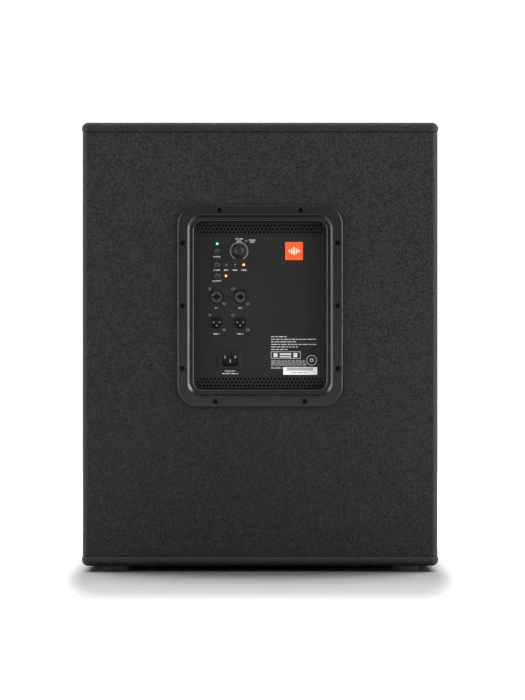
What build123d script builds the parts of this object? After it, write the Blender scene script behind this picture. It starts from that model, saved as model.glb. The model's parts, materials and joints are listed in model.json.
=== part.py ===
from build123d import *
from math import pi, radians, tan
import os

# Powered subwoofer for live sound, in millimetres. +Z is up and the origin is on the floor,
# under the middle of the cabinet. The connection panel faces -Y and the grille faces +Y.
# Left and right are as seen by someone who looks at the connection panel.

os.makedirs("parts", exist_ok=True)

# ---- Driving dimensions -------------------------------------------------------------------

# Cabinet
body_w = 490
body_d = 560
total_h = 620
board = 18
board_edge_r = 8
cap_h = 14
cap_over = 1
cap_plan_r = 9
foot_h = 8
foot_r = 20
foot_inset = 43
screw_gap = 0.1

body_low = foot_h + cap_h
body_high = total_h - cap_h
inner_low = body_low + board
inner_high = body_high - board
inner_w = body_w - 2 * board
inner_h = inner_high - inner_low
inner_mid = (inner_low + inner_high) / 2
rear_out = -body_d / 2
rear_in = rear_out + board

# Front: baffle, grille and ports
proud = 4
grille_face = body_d / 2 + 2
grille_t = 1.5
grille_depth = 30
grille_gap = 1
foam_t = 4
baffle_front = grille_face - grille_depth
baffle_back = baffle_front - board
port_x = 140
port_z = 118
port_bore_r = 50
port_wall = 3
port_flare_r = 63
port_length = 160

# Pole socket, M20 thread drawn at its minor diameter
socket_bore_r = 8.65
socket_bore_depth = 40
socket_tube_r = 14
socket_flange_r = 40
socket_flange_t = 3
socket_screw_r = 30

# Side handles
handle_z = 430
handle_flange = (190, 120)
handle_flange_t = 3
handle_cup = (150, 84)
handle_cup_depth = 52
handle_wall = 3
handle_bar_r = 10
handle_bar_rise = 30
handle_screw_grid = (168, 98)

# Woofer, nominal 15 inch
woofer_z = 380
basket_r = 194
basket_flange_t = 6
cutout_r = 177.5
bolt_r = 185.5
bolt_count = 8
roll_r = 9
roll_mid_r = 167.5
cone_edge_r = 160
coil_r = 38.4
coil_gap = 0.4
coil_thick = 1.4
coil_h = 24

# Amplifier module, its middle at height amp_z
amp_z = 367
frame_w = 227
frame_h = 278
frame_r = 28
flange_t = 3
gasket_t = 1
lip_w = 198
lip_h = 246
lip_r = 18.5
window_w = 181
window_h = 229
window_r = 11
window_rise = 0.5
tub_w = 203
tub_h = 251
tub_r = 20
recess = 20
panel_t = 1.5
housing_w = 186
housing_h = 234
housing_depth = 112
housing_wall = 1.5

frame_face = rear_out - proud
flange_back = frame_face + flange_t
panel_face = frame_face + recess
panel_back = panel_face + panel_t
housing_back = panel_back + housing_depth

# Places on the panel, from the middle of the amplifier frame
frame_screw_spots = [(x, z) for x in (-107, 107) for z in (-86.5, 0, 86.5)]
frame_screw_spots += [(x, 131.5) for x in (-56, 56)]
frame_screw_spots += [(x, -132) for x in (-61.5, 61.5)]
housing_screw_spots = [(x, z) for x in (-96.5, 96.5) for z in (-75, 0, 75)]
combo_spots = [(-60.2, 13.2), (-27.4, 13.2)]
xlr_spots = [(-60.3, -23.1), (-27.5, -23.1)]
jack_screw_offset = (10.2, 10.3)
power_spot = (-60, 75.4)
crossover_spot = (-60, 57)
polarity_spot = (-60, 41.5)
volume_spot = (-29.2, 75.9)
iec_spot = (-41.4, -75.3)
badge_spot = (47, 76)
label_spot = (55.5, -90)
label_t = 0.2
light_spots = [(-59.5, 86), (-19, 90), (-47.1, 57), (-34.8, 57), (-22.7, 57), (-47.3, 41.7)]

# Perforated bands at the top and bottom of the panel
vent_r = 1.45
vent_pitch = 5.2
vent_rows = ((101.5, 33), (106.1, 34), (110.7, 33))

# Connectors and controls
jack_block = 26
jack_depth = 32
combo_ring_r = 11
combo_bore_r = 9.8
combo_core_r = 7.9
combo_socket_depth = 17
plug_bore_r = 3.2
plug_bore_depth = 31
xlr_ring_r = 9.4
xlr_bore_r = 8
xlr_socket_depth = 15
ring_proud = 0.8
pin_r = 1.2
button_r = 4.2
button_hole_r = 4.6
button_proud = 3
button_stem_r = 1.5
knob_r = 9.5
knob_h = 14
knob_gap = 1
shaft_r = 3
board_t = 1.6
input_board_y = panel_back + jack_depth + 1
main_board_y = housing_back - 22


def rear_plane(y, z=0):
    """A plane that faces the rear: local x is +X, local y is +Z, outward is -Y."""
    return Plane(origin=(0, y, z), x_dir=(1, 0, 0), z_dir=(0, -1, 0))


def front_plane(y, z=0):
    """A plane that faces the front: local x is -X, local y is +Z, outward is +Y."""
    return Plane(origin=(0, y, z), x_dir=(-1, 0, 0), z_dir=(0, 1, 0))


def side_plane(sign, z):
    """A plane on the outer face of a side board, outward along X by sign."""
    return Plane(origin=(sign * body_w / 2, 0, z), x_dir=(0, 1, 0), z_dir=(sign, 0, 0))


def pan_screw(head_r, head_h, shank_r, length):
    """A pan-head screw: the head stands on the local XY plane and the shank points down."""
    with BuildPart() as screw:
        with BuildSketch():
            Circle(head_r)
        extrude(amount=head_h)
        fillet(screw.edges().group_by(Axis.Z)[-1], head_h * 0.5)
        with BuildSketch():
            Circle(shank_r)
        extrude(amount=-length)
        with BuildSketch(Plane.XY.offset(head_h)):
            Rectangle(head_r, head_r * 0.25)
            Rectangle(head_r * 0.25, head_r)
        extrude(amount=-head_h * 0.6, mode=Mode.SUBTRACT)
    return screw.part


def flat_screw(head_r, shank_r, length):
    """A countersunk screw with its head level with the local XY plane and its shank below."""
    with BuildPart() as screw:
        with BuildSketch(Plane.XZ):
            with BuildLine():
                Polyline(
                    (0, 0),
                    (head_r, 0),
                    (shank_r, shank_r - head_r),
                    (shank_r, -length),
                    (0, -length),
                    close=True,
                )
            make_face()
        revolve(axis=Axis.Z)
        with BuildSketch():
            Rectangle(head_r, head_r * 0.25)
            Rectangle(head_r * 0.25, head_r)
        extrude(amount=-1.2, mode=Mode.SUBTRACT)
    return screw.part


# ---- Cabinet ------------------------------------------------------------------------------

flat_head_r = 4
flat_shank_r = 2
handle_screw_length = 16
long_screw_length = 28
flat_hole_r = flat_shank_r + screw_gap
flat_sink_r = flat_head_r + 0.15

# Side boards: full height between the caps, with the rebate and hole for a handle
for side, sign in (("left", -1), ("right", 1)):
    with BuildPart() as side_board:
        with BuildSketch(Plane.XY.offset(body_low)):
            with Locations((sign * (body_w - board) / 2, 0)):
                Rectangle(board, body_d)
        extrude(amount=body_high - body_low)
        outer_edges = side_board.edges().filter_by(Axis.Z).sort_by(Axis.X)
        fillet(outer_edges[:2] if sign < 0 else outer_edges[-2:], board_edge_r)
        with BuildSketch(side_plane(sign, handle_z)):
            RectangleRounded(handle_flange[0] + 1, handle_flange[1] + 1, 14.5)
        extrude(amount=-handle_flange_t, mode=Mode.SUBTRACT)
        with BuildSketch(side_plane(sign, handle_z)):
            RectangleRounded(handle_cup[0] + 1, handle_cup[1] + 1, 16.5)
            with GridLocations(*handle_screw_grid, 2, 2):
                Circle(flat_hole_r)
        extrude(amount=-board, mode=Mode.SUBTRACT)
    side_board.part.label = f"{side}_side_board"
    export_step(side_board.part, f"parts/{side}_side_board.step")

# Top and bottom boards, between the side boards
with BuildPart() as top_board:
    with BuildSketch(Plane.XY.offset(inner_high)):
        Rectangle(inner_w, body_d)
        Circle(socket_tube_r + 0.2, mode=Mode.SUBTRACT)
    extrude(amount=board)
    with BuildSketch(Plane.XY.offset(body_high)):
        with PolarLocations(socket_screw_r, 4, 45):
            Circle(flat_hole_r)
    extrude(amount=-board, mode=Mode.SUBTRACT)
top_board.part.label = "top_board"
export_step(top_board.part, "parts/top_board.step")

foot_grid = (body_w - 2 * foot_inset, body_d - 2 * foot_inset)
foot_screw_low = 3

with BuildPart() as bottom_board:
    with BuildSketch(Plane.XY.offset(body_low)):
        Rectangle(inner_w, body_d)
        with GridLocations(*foot_grid, 2, 2):
            Circle(flat_hole_r, mode=Mode.SUBTRACT)
    extrude(amount=board)
bottom_board.part.label = "bottom_board"
export_step(bottom_board.part, "parts/bottom_board.step")

# Rear board, with the opening for the amplifier module
frame_shank_r = 1.7
with BuildPart() as rear_board:
    with BuildSketch(rear_plane(rear_in, inner_mid)):
        Rectangle(inner_w, inner_h)
    extrude(amount=board)
    with BuildSketch(rear_plane(rear_in, amp_z)):
        RectangleRounded(tub_w + 3, tub_h + 3, tub_r + 1.5)
        with Locations(*frame_screw_spots):
            Circle(frame_shank_r + screw_gap)
    extrude(amount=board, mode=Mode.SUBTRACT)
rear_board.part.label = "rear_board"
export_step(rear_board.part, "parts/rear_board.step")

# Front baffle: woofer opening with a rebate for the basket flange, and two port holes
bolt_shank_r = 2.5
grille_screw_grid = (424, 518)
grille_shank_r = 2
with BuildPart() as front_baffle:
    with BuildSketch(front_plane(baffle_back, inner_mid)):
        Rectangle(inner_w, inner_h)
        with GridLocations(grille_screw_grid[0], grille_screw_grid[1] / 2, 2, 3):
            Circle(grille_shank_r + screw_gap, mode=Mode.SUBTRACT)
    extrude(amount=board)
    with BuildSketch(front_plane(baffle_back, woofer_z)):
        Circle(cutout_r)
        with PolarLocations(bolt_r, bolt_count, 22.5):
            Circle(bolt_shank_r + screw_gap)
    extrude(amount=board, mode=Mode.SUBTRACT)
    with BuildSketch(front_plane(baffle_front, woofer_z)):
        Circle(basket_r + 0.5)
    extrude(amount=-basket_flange_t, mode=Mode.SUBTRACT)
    with BuildSketch(front_plane(baffle_back, port_z)):
        with Locations((-port_x, 0), (port_x, 0)):
            Circle(port_bore_r + port_wall + 0.2)
    extrude(amount=board, mode=Mode.SUBTRACT)
front_baffle.part.label = "front_baffle"
export_step(front_baffle.part, "parts/front_baffle.step")

# Window brace, across the cabinet between the amplifier and the woofer magnet
brace_y = -130
brace_border = 62
with BuildPart() as internal_brace:
    with BuildSketch(front_plane(brace_y, inner_mid)):
        Rectangle(inner_w, inner_h)
        RectangleRounded(
            inner_w - 2 * brace_border, inner_h - 2 * brace_border, 40, mode=Mode.SUBTRACT
        )
    extrude(amount=board)
internal_brace.part.label = "internal_brace"
export_step(internal_brace.part, "parts/internal_brace.step")

# Moulded caps with bullnose edges, above and below the boards, hollow next to the boards
cap_round_r = 8.5
cap_seam_r = 4
cap_wall = 4
cap_rim = 24
socket_boss_r = 44
foot_boss_r = 14
pocket = (body_w - 2 * cap_rim, body_d - 2 * cap_rim)
with BuildPart() as top_cap:
    with BuildSketch(Plane.XY.offset(body_high)):
        RectangleRounded(body_w + 2 * cap_over, body_d + 2 * cap_over, cap_plan_r)
    extrude(amount=cap_h)
    fillet(top_cap.edges().group_by(Axis.Z)[-1], cap_round_r)
    fillet(top_cap.edges().group_by(Axis.Z)[0], cap_seam_r)
    with BuildSketch(Plane.XY.offset(body_high)):
        RectangleRounded(*pocket, 6)
        Circle(socket_boss_r, mode=Mode.SUBTRACT)
    extrude(amount=cap_h - cap_wall, mode=Mode.SUBTRACT)
    with BuildSketch(Plane.XY.offset(total_h)):
        Circle(socket_flange_r + 0.3)
    extrude(amount=-socket_flange_t, mode=Mode.SUBTRACT)
    with BuildSketch(Plane.XY.offset(total_h)):
        Circle(socket_tube_r + 0.2)
        with PolarLocations(socket_screw_r, 4, 45):
            Circle(flat_hole_r)
    extrude(amount=-cap_h, mode=Mode.SUBTRACT)
top_cap.part.label = "top_cap"
export_step(top_cap.part, "parts/top_cap.step")

with BuildPart() as bottom_cap:
    with BuildSketch(Plane.XY.offset(foot_h)):
        RectangleRounded(body_w + 2 * cap_over, body_d + 2 * cap_over, cap_plan_r)
    extrude(amount=cap_h)
    fillet(bottom_cap.edges().group_by(Axis.Z)[0], cap_round_r)
    fillet(bottom_cap.edges().group_by(Axis.Z)[-1], cap_seam_r)
    with BuildSketch(Plane.XY.offset(body_low)):
        RectangleRounded(*pocket, 6)
        with GridLocations(*foot_grid, 2, 2):
            Circle(foot_boss_r, mode=Mode.SUBTRACT)
    extrude(amount=cap_wall - cap_h, mode=Mode.SUBTRACT)
    with BuildSketch(Plane.XY.offset(foot_h)):
        with GridLocations(*foot_grid, 2, 2):
            Circle(flat_hole_r)
    extrude(amount=cap_h, mode=Mode.SUBTRACT)
bottom_cap.part.label = "bottom_cap"
export_step(bottom_cap.part, "parts/bottom_cap.step")

# Four tapered rubber feet, each with a screw well that opens downwards
with BuildPart() as rubber_feet:
    with BuildSketch(Plane.XY):
        with GridLocations(*foot_grid, 2, 2):
            Circle(foot_r - 1.5)
    extrude(amount=foot_h, taper=-8)
    fillet(rubber_feet.edges().group_by(Axis.Z)[0], 1.5)
    with BuildSketch(Plane.XY):
        with GridLocations(*foot_grid, 2, 2):
            Circle(flat_head_r + 0.5)
    extrude(amount=foot_screw_low, mode=Mode.SUBTRACT)
    with Locations(Plane(origin=(0, 0, foot_screw_low), z_dir=(0, 0, -1))):
        with GridLocations(*foot_grid, 2, 2):
            CounterSinkHole(flat_hole_r, flat_sink_r, depth=foot_h, counter_sink_angle=90)
rubber_feet.part.label = "rubber_feet"
export_step(rubber_feet.part, "parts/rubber_feet.step")

# Pole socket: a steel flange let into the top cap, with a closed tube below it
with BuildPart() as pole_socket:
    with BuildSketch(Plane.XY.offset(total_h)):
        Circle(socket_flange_r)
    extrude(amount=-socket_flange_t)
    with BuildSketch(Plane.XY.offset(total_h)):
        Circle(socket_tube_r)
    extrude(amount=-(socket_bore_depth + 4))
    with BuildSketch(Plane.XY.offset(total_h)):
        Circle(socket_bore_r)
    extrude(amount=-socket_bore_depth, mode=Mode.SUBTRACT)
    with Locations(Plane.XY.offset(total_h)):
        with PolarLocations(socket_screw_r, 4, 45):
            CounterSinkHole(flat_hole_r, flat_sink_r, depth=8, counter_sink_angle=90)
pole_socket.part.label = "pole_socket"
export_step(pole_socket.part, "parts/pole_socket.step")

# Side handles: a flush flange, a closed cup, and a grip bar along the cup's upper edge
for side, sign in (("left", -1), ("right", 1)):
    with BuildPart() as grip_bar:
        with BuildSketch(rear_plane(handle_cup[0] / 2 - 1, handle_z)):
            with Locations((sign * (body_w / 2 - handle_bar_r - 2), handle_bar_rise)):
                Circle(handle_bar_r)
        extrude(amount=handle_cup[0] - 2)
        with BuildSketch(side_plane(sign, handle_z)):
            RectangleRounded(*handle_cup, 16)
        extrude(amount=-handle_cup_depth, mode=Mode.INTERSECT)
    with BuildPart() as handle:
        with BuildSketch(side_plane(sign, handle_z)):
            RectangleRounded(*handle_flange, 14)
        extrude(amount=-handle_flange_t)
        with BuildSketch(side_plane(sign, handle_z)):
            RectangleRounded(*handle_cup, 16)
        extrude(amount=-handle_cup_depth)
        with BuildSketch(side_plane(sign, handle_z)):
            RectangleRounded(
                handle_cup[0] - 2 * handle_wall, handle_cup[1] - 2 * handle_wall, 13
            )
        extrude(amount=-(handle_cup_depth - handle_wall), mode=Mode.SUBTRACT)
        add(grip_bar.part)
        with Locations(side_plane(sign, handle_z)):
            with GridLocations(*handle_screw_grid, 2, 2):
                CounterSinkHole(
                    flat_hole_r, flat_sink_r, depth=handle_flange_t + 1, counter_sink_angle=90
                )
    handle.part.label = f"{side}_handle"
    export_step(handle.part, f"parts/{side}_handle.step")

# Countersunk wood screws of the handles, the pole socket and the feet
handle_screw = flat_screw(flat_head_r, flat_shank_r, handle_screw_length)
long_screw = flat_screw(flat_head_r, flat_shank_r, long_screw_length)
with BuildPart() as countersunk_screws:
    for sign in (-1, 1):
        with Locations(side_plane(sign, handle_z)):
            with GridLocations(*handle_screw_grid, 2, 2):
                add(handle_screw)
    with Locations(Plane.XY.offset(total_h)):
        with PolarLocations(socket_screw_r, 4, 45):
            add(long_screw)
    with Locations(Plane(origin=(0, 0, foot_screw_low), z_dir=(0, 0, -1))):
        with GridLocations(*foot_grid, 2, 2):
            add(long_screw)
countersunk_screws.part.label = "countersunk_screws"
export_step(countersunk_screws.part, "parts/countersunk_screws.step")

# ---- Front --------------------------------------------------------------------------------

grille_w = inner_w - 2 * grille_gap
grille_h = inner_h - 2 * grille_gap

# Grille: a folded steel tray that rests on the baffle by its edges
with BuildPart() as front_grille:
    with BuildSketch(front_plane(baffle_front, inner_mid)):
        RectangleRounded(grille_w, grille_h, 6)
    extrude(amount=grille_depth)
    with BuildSketch(front_plane(baffle_front, inner_mid)):
        RectangleRounded(grille_w - 2 * grille_t, grille_h - 2 * grille_t, 4.5)
    extrude(amount=grille_depth - grille_t, mode=Mode.SUBTRACT)
    fillet(front_grille.edges().group_by(Axis.Y)[-1], 1.2)
    with BuildSketch(front_plane(grille_face, inner_mid)):
        with GridLocations(grille_screw_grid[0], grille_screw_grid[1] / 2, 2, 3):
            Circle(grille_shank_r + screw_gap)
    extrude(amount=-grille_t, mode=Mode.SUBTRACT)
front_grille.part.label = "front_grille"
export_step(front_grille.part, "parts/front_grille.step")

# Open-cell foam behind the grille sheet
with BuildPart() as grille_foam:
    with BuildSketch(front_plane(grille_face - grille_t - foam_t, inner_mid)):
        Rectangle(grille_w - 8, grille_h - 8)
        with GridLocations(grille_screw_grid[0], grille_screw_grid[1] / 2, 2, 3):
            Circle(grille_shank_r + 0.5, mode=Mode.SUBTRACT)
    extrude(amount=foam_t)
grille_foam.part.label = "grille_foam"
export_step(grille_foam.part, "parts/grille_foam.step")

# Six long pan-head screws hold the grille against the baffle
with BuildPart() as grille_screws:
    grille_screw = pan_screw(4.2, 2, grille_shank_r, grille_depth + 14)
    with Locations(front_plane(grille_face, inner_mid)):
        with GridLocations(grille_screw_grid[0], grille_screw_grid[1] / 2, 2, 3):
            add(grille_screw)
grille_screws.part.label = "grille_screws"
export_step(grille_screws.part, "parts/grille_screws.step")

# Two flared port tubes, glued into the baffle from the front
with BuildPart() as port_tubes:
    with BuildSketch(front_plane(baffle_front, port_z)):
        with Locations((-port_x, 0), (port_x, 0)):
            Circle(port_flare_r)
    extrude(amount=3)
    with BuildSketch(front_plane(baffle_front + 3, port_z)):
        with Locations((-port_x, 0), (port_x, 0)):
            Circle(port_bore_r + port_wall)
    extrude(amount=-port_length)
    with BuildSketch(front_plane(baffle_front + 3, port_z)):
        with Locations((-port_x, 0), (port_x, 0)):
            Circle(port_bore_r)
    extrude(amount=-port_length, mode=Mode.SUBTRACT)
    mouths = port_tubes.edges().group_by(Axis.Y)[-1].filter_by(
        lambda edge: edge.radius < port_bore_r + 1
    )
    fillet(mouths, 2.5)
port_tubes.part.label = "port_tubes"
export_step(port_tubes.part, "parts/port_tubes.step")

# Damping pads on the top board, the bottom board and the lower rear board
pad_t = 25
with BuildPart() as damping_pads:
    with BuildSketch(Plane.XY.offset(inner_low)):
        Rectangle(400, 160)
    extrude(amount=pad_t)
    with BuildSketch(Plane.XY.offset(inner_high - pad_t)):
        with Locations((-110, 0), (110, 0)):
            Rectangle(180, 160)
    extrude(amount=pad_t)
    with BuildSketch(front_plane(rear_in, 140)):
        Rectangle(400, 140)
    extrude(amount=pad_t)
damping_pads.part.label = "damping_pads"
export_step(damping_pads.part, "parts/damping_pads.step")

# ---- Woofer -------------------------------------------------------------------------------

# Stations along Y, measured from the front of the baffle
land_t = 1
neck_y = baffle_front - 77
spider_y = baffle_front - 95
seat_y = baffle_front - 117
seat_t = 6
plate_t = 10
magnet_t = 20
yoke_t = 10
plate_front = seat_y - seat_t
plate_back = plate_front - plate_t
magnet_back = plate_back - magnet_t
yoke_back = magnet_back - yoke_t
coil_low = plate_front - plate_t / 2 - coil_h / 2
former_t = 0.4
pole_r = coil_r - former_t - coil_gap
gap_r = coil_r + coil_thick + coil_gap
woofer_axis = Axis((0, 0, woofer_z), (0, 1, 0))
half_section = Plane(origin=(0, 0, woofer_z), x_dir=(1, 0, 0), z_dir=(0, 0, 1))


def ring(outer_r, inner_r, low, high):
    """A plain ring about the woofer's axis, from y = low to y = high."""
    with BuildPart() as body:
        with BuildSketch(front_plane(low, woofer_z)):
            Circle(outer_r)
            Circle(inner_r, mode=Mode.SUBTRACT)
        extrude(amount=high - low)
    return body.part


# Basket: a cast frame with a flange, eight spokes, a spider ledge and a magnet seat
wall_top = (cutout_r - 1.5, baffle_front - basket_flange_t)
wall_low = (100, seat_y)
wall_t = 5
ledge_r = 104
terminal_drop = 118
with BuildPart() as woofer_basket:
    with BuildSketch(half_section):
        with BuildLine():
            Polyline(
                (wall_top[0], wall_top[1]),
                (wall_low[0], wall_low[1]),
                (wall_low[0] - wall_t, wall_low[1]),
                (wall_top[0] - wall_t, wall_top[1]),
                close=True,
            )
        make_face()
    revolve(axis=woofer_axis)
    with BuildSketch(front_plane(baffle_front, woofer_z)):
        with PolarLocations(140, 8, 22.5):
            Rectangle(110, 62)
    extrude(amount=-(baffle_front - seat_y - 26), mode=Mode.SUBTRACT)
    add(ring(basket_r, wall_top[0] - wall_t, wall_top[1], baffle_front))
    add(ring(wall_top[0], wall_top[0] - 2 * wall_t, wall_top[1] - 8, wall_top[1]))
    add(ring(wall_low[0], gap_r + 2, seat_y - seat_t, seat_y))
    add(ring(ledge_r + 6, ledge_r - 12, spider_y - 5, spider_y))
    with BuildSketch(front_plane(baffle_front, woofer_z)):
        with PolarLocations(bolt_r, bolt_count, 22.5):
            Circle(bolt_shank_r + screw_gap)
    extrude(amount=-basket_flange_t, mode=Mode.SUBTRACT)
    with BuildSketch(front_plane(spider_y - 12, woofer_z)):
        with Locations((0, -terminal_drop / 2 - 50)):
            Rectangle(30, 18)
    extrude(amount=12)
woofer_basket.part.label = "woofer_basket"
export_step(woofer_basket.part, "parts/woofer_basket.step")

# Magnet system: front plate, ferrite ring, and a yoke with its vented pole
front_plate = ring(90, gap_r, plate_back, plate_front)
front_plate.label = "woofer_front_plate"
export_step(front_plate, "parts/woofer_front_plate.step")

magnet = ring(98, 52, magnet_back, plate_back)
magnet.label = "woofer_magnet"
export_step(magnet, "parts/woofer_magnet.step")

with BuildPart() as woofer_yoke:
    with BuildSketch(front_plane(yoke_back, woofer_z)):
        Circle(92)
    extrude(amount=yoke_t)
    with BuildSketch(front_plane(magnet_back, woofer_z)):
        Circle(pole_r)
    extrude(amount=plate_front - magnet_back)
    with BuildSketch(front_plane(yoke_back, woofer_z)):
        Circle(14)
    extrude(amount=plate_front - yoke_back, mode=Mode.SUBTRACT)
woofer_yoke.part.label = "woofer_yoke"
export_step(woofer_yoke.part, "parts/woofer_yoke.step")

# Gasket ring on the basket flange, with clearance for the bolt heads
bolt_head_r = 4.8
land_out = 179.5
with BuildPart() as woofer_gasket:
    with BuildSketch(front_plane(baffle_front, woofer_z)):
        Circle(basket_r - 2)
        Circle(land_out + 0.3, mode=Mode.SUBTRACT)
        with PolarLocations(bolt_r, bolt_count, 22.5):
            Circle(bolt_head_r + 0.4, mode=Mode.SUBTRACT)
    extrude(amount=3)
woofer_gasket.part.label = "woofer_gasket"
export_step(woofer_gasket.part, "parts/woofer_gasket.step")

with BuildPart() as woofer_screws:
    woofer_bolt = pan_screw(bolt_head_r, 3, bolt_shank_r, basket_flange_t + 16)
    with Locations(front_plane(baffle_front, woofer_z)):
        with PolarLocations(bolt_r, bolt_count, 22.5):
            add(woofer_bolt)
woofer_screws.part.label = "woofer_screws"
export_step(woofer_screws.part, "parts/woofer_screws.step")

# Terminal block below the basket
with BuildPart() as woofer_terminals:
    with BuildSketch(front_plane(spider_y - 12, woofer_z)):
        with Locations((0, -terminal_drop / 2 - 50 - 9 - 5)):
            Rectangle(26, 10)
    extrude(amount=10)
woofer_terminals.part.label = "woofer_terminals"
export_step(woofer_terminals.part, "parts/woofer_terminals.step")

# Cone: a straight paper cone from the former to the flat lip under the surround
cone_t = 1.5
with BuildPart() as woofer_cone:
    with BuildSketch(half_section):
        with BuildLine():
            Polyline(
                (coil_r, neck_y),
                (cone_edge_r - 6, baffle_front - cone_t),
                (cone_edge_r, baffle_front - cone_t),
                (cone_edge_r, baffle_front),
                (cone_edge_r - 7, baffle_front),
                (coil_r, neck_y + 2 * cone_t),
                close=True,
            )
        make_face()
    revolve(axis=woofer_axis)
woofer_cone.part.label = "woofer_cone"
export_step(woofer_cone.part, "parts/woofer_cone.step")

# Surround: a half-roll between the cone's lip and the basket flange
with BuildPart() as woofer_surround:
    with BuildSketch(half_section):
        with Locations((roll_mid_r, baffle_front)):
            Circle(roll_r)
            Circle(roll_r - land_t, mode=Mode.SUBTRACT)
        with Locations((roll_mid_r, baffle_front - roll_r)):
            Rectangle(3 * roll_r, 2 * roll_r, mode=Mode.SUBTRACT)
        with Locations((roll_mid_r - roll_r - 2, baffle_front + land_t / 2)):
            Rectangle(5, land_t)
        with Locations(((roll_mid_r + roll_r + land_out - 0.5) / 2, baffle_front + land_t / 2)):
            Rectangle(land_out - roll_mid_r - roll_r + 0.5, land_t)
    revolve(axis=woofer_axis)
woofer_surround.part.label = "woofer_surround"
export_step(woofer_surround.part, "parts/woofer_surround.step")

# Dust cap: a shallow dome over the voice coil
cap_r = 50
cap_rise = 14
cap_sphere_r = (cap_r**2 + cap_rise**2) / (2 * cap_rise)
cap_y = neck_y + (cap_r - coil_r) * (77 - cone_t) / (cone_edge_r - 6 - coil_r) + 3
with BuildPart() as woofer_dust_cap:
    with BuildSketch(half_section):
        with Locations((0, cap_y + cap_rise - cap_sphere_r)):
            Circle(cap_sphere_r)
            Circle(cap_sphere_r - land_t, mode=Mode.SUBTRACT)
        with Locations((cap_r, cap_y + cap_rise)):
            Rectangle(2 * cap_r, 2 * cap_rise, mode=Mode.INTERSECT)
    revolve(axis=woofer_axis)
woofer_dust_cap.part.label = "woofer_dust_cap"
export_step(woofer_dust_cap.part, "parts/woofer_dust_cap.step")

# Voice coil former and its winding
former = ring(coil_r, coil_r - former_t, coil_low - 2, neck_y + 2 * cone_t)
former.label = "voice_coil_former"
export_step(former, "parts/voice_coil_former.step")

winding = ring(coil_r + coil_thick, coil_r, coil_low, coil_low + coil_h)
winding.label = "voice_coil"
export_step(winding, "parts/voice_coil.step")

# Spider: the corrugated disc that centres the coil
spider_t = 1
wave = 2.4
wave_count = 4
wave_in = coil_r + 4
wave_pitch = (ledge_r - 10 - wave_in) / wave_count
with BuildPart() as woofer_spider:
    with BuildSketch(half_section):
        with BuildLine():
            Polyline((coil_r, spider_y), (wave_in, spider_y))
            for turn in range(wave_count):
                start = wave_in + turn * wave_pitch
                ThreePointArc(
                    (start, spider_y),
                    (start + wave_pitch / 4, spider_y + wave),
                    (start + wave_pitch / 2, spider_y),
                )
                Line((start + wave_pitch / 2, spider_y), (start + wave_pitch, spider_y))
            Polyline(
                (ledge_r - 10, spider_y),
                (ledge_r, spider_y),
                (ledge_r, spider_y + spider_t),
                (ledge_r - 10, spider_y + spider_t),
            )
            for turn in reversed(range(wave_count)):
                start = wave_in + turn * wave_pitch
                Line(
                    (start + wave_pitch, spider_y + spider_t),
                    (start + wave_pitch / 2, spider_y + spider_t),
                )
                ThreePointArc(
                    (start + wave_pitch / 2, spider_y + spider_t),
                    (start + wave_pitch / 4, spider_y + spider_t + wave),
                    (start, spider_y + spider_t),
                )
            Polyline(
                (wave_in, spider_y + spider_t),
                (coil_r, spider_y + spider_t),
                (coil_r, spider_y),
            )
        make_face()
    revolve(axis=woofer_axis)
woofer_spider.part.label = "woofer_spider"
export_step(woofer_spider.part, "parts/woofer_spider.step")

# ---- Amplifier module ---------------------------------------------------------------------

# Frame: a moulded tray with a rounded lip and sloping walls down to the panel
with BuildPart() as amp_frame:
    with BuildSketch(rear_plane(flange_back, amp_z)):
        RectangleRounded(frame_w, frame_h, frame_r)
    extrude(amount=flange_t)
    fillet(amp_frame.edges().group_by(Axis.Y)[0], 1.8)
    with BuildSketch(rear_plane(flange_back, amp_z)):
        RectangleRounded(tub_w, tub_h, tub_r)
    extrude(amount=-(recess - flange_t))
    with BuildSketch(rear_plane(frame_face, amp_z)):
        RectangleRounded(lip_w, lip_h, lip_r)
    with BuildSketch(rear_plane(panel_face, amp_z + window_rise)):
        RectangleRounded(window_w, window_h, window_r)
    loft(mode=Mode.SUBTRACT)
    with Locations(rear_plane(frame_face, amp_z)):
        with Locations(*frame_screw_spots):
            CounterBoreHole(
                radius=frame_shank_r + screw_gap,
                counter_bore_radius=3.75,
                counter_bore_depth=1.7,
                depth=flange_t,
            )
    with BuildSketch(rear_plane(panel_face, amp_z)):
        with Locations(*housing_screw_spots):
            Circle(1.6)
    extrude(amount=9, mode=Mode.SUBTRACT)
amp_frame.part.label = "amp_frame"
export_step(amp_frame.part, "parts/amp_frame.step")

# Flat foam gasket between the frame's flange and the rear board
with BuildPart() as amp_frame_gasket:
    with BuildSketch(rear_plane(rear_out, amp_z)):
        RectangleRounded(frame_w - 4, frame_h - 4, frame_r - 2)
        RectangleRounded(tub_w + 1, tub_h + 1, tub_r + 0.5, mode=Mode.SUBTRACT)
        with Locations(*frame_screw_spots):
            Circle(frame_shank_r + screw_gap, mode=Mode.SUBTRACT)
    extrude(amount=gasket_t)
amp_frame_gasket.part.label = "amp_frame_gasket"
export_step(amp_frame_gasket.part, "parts/amp_frame_gasket.step")

with BuildPart() as amp_frame_screws:
    frame_screw = pan_screw(3.4, 1.5, frame_shank_r, 18)
    with Locations(rear_plane(frame_face + 1.7, amp_z)):
        with Locations(*frame_screw_spots):
            add(frame_screw)
amp_frame_screws.part.label = "amp_frame_screws"
export_step(amp_frame_screws.part, "parts/amp_frame_screws.step")

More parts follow.
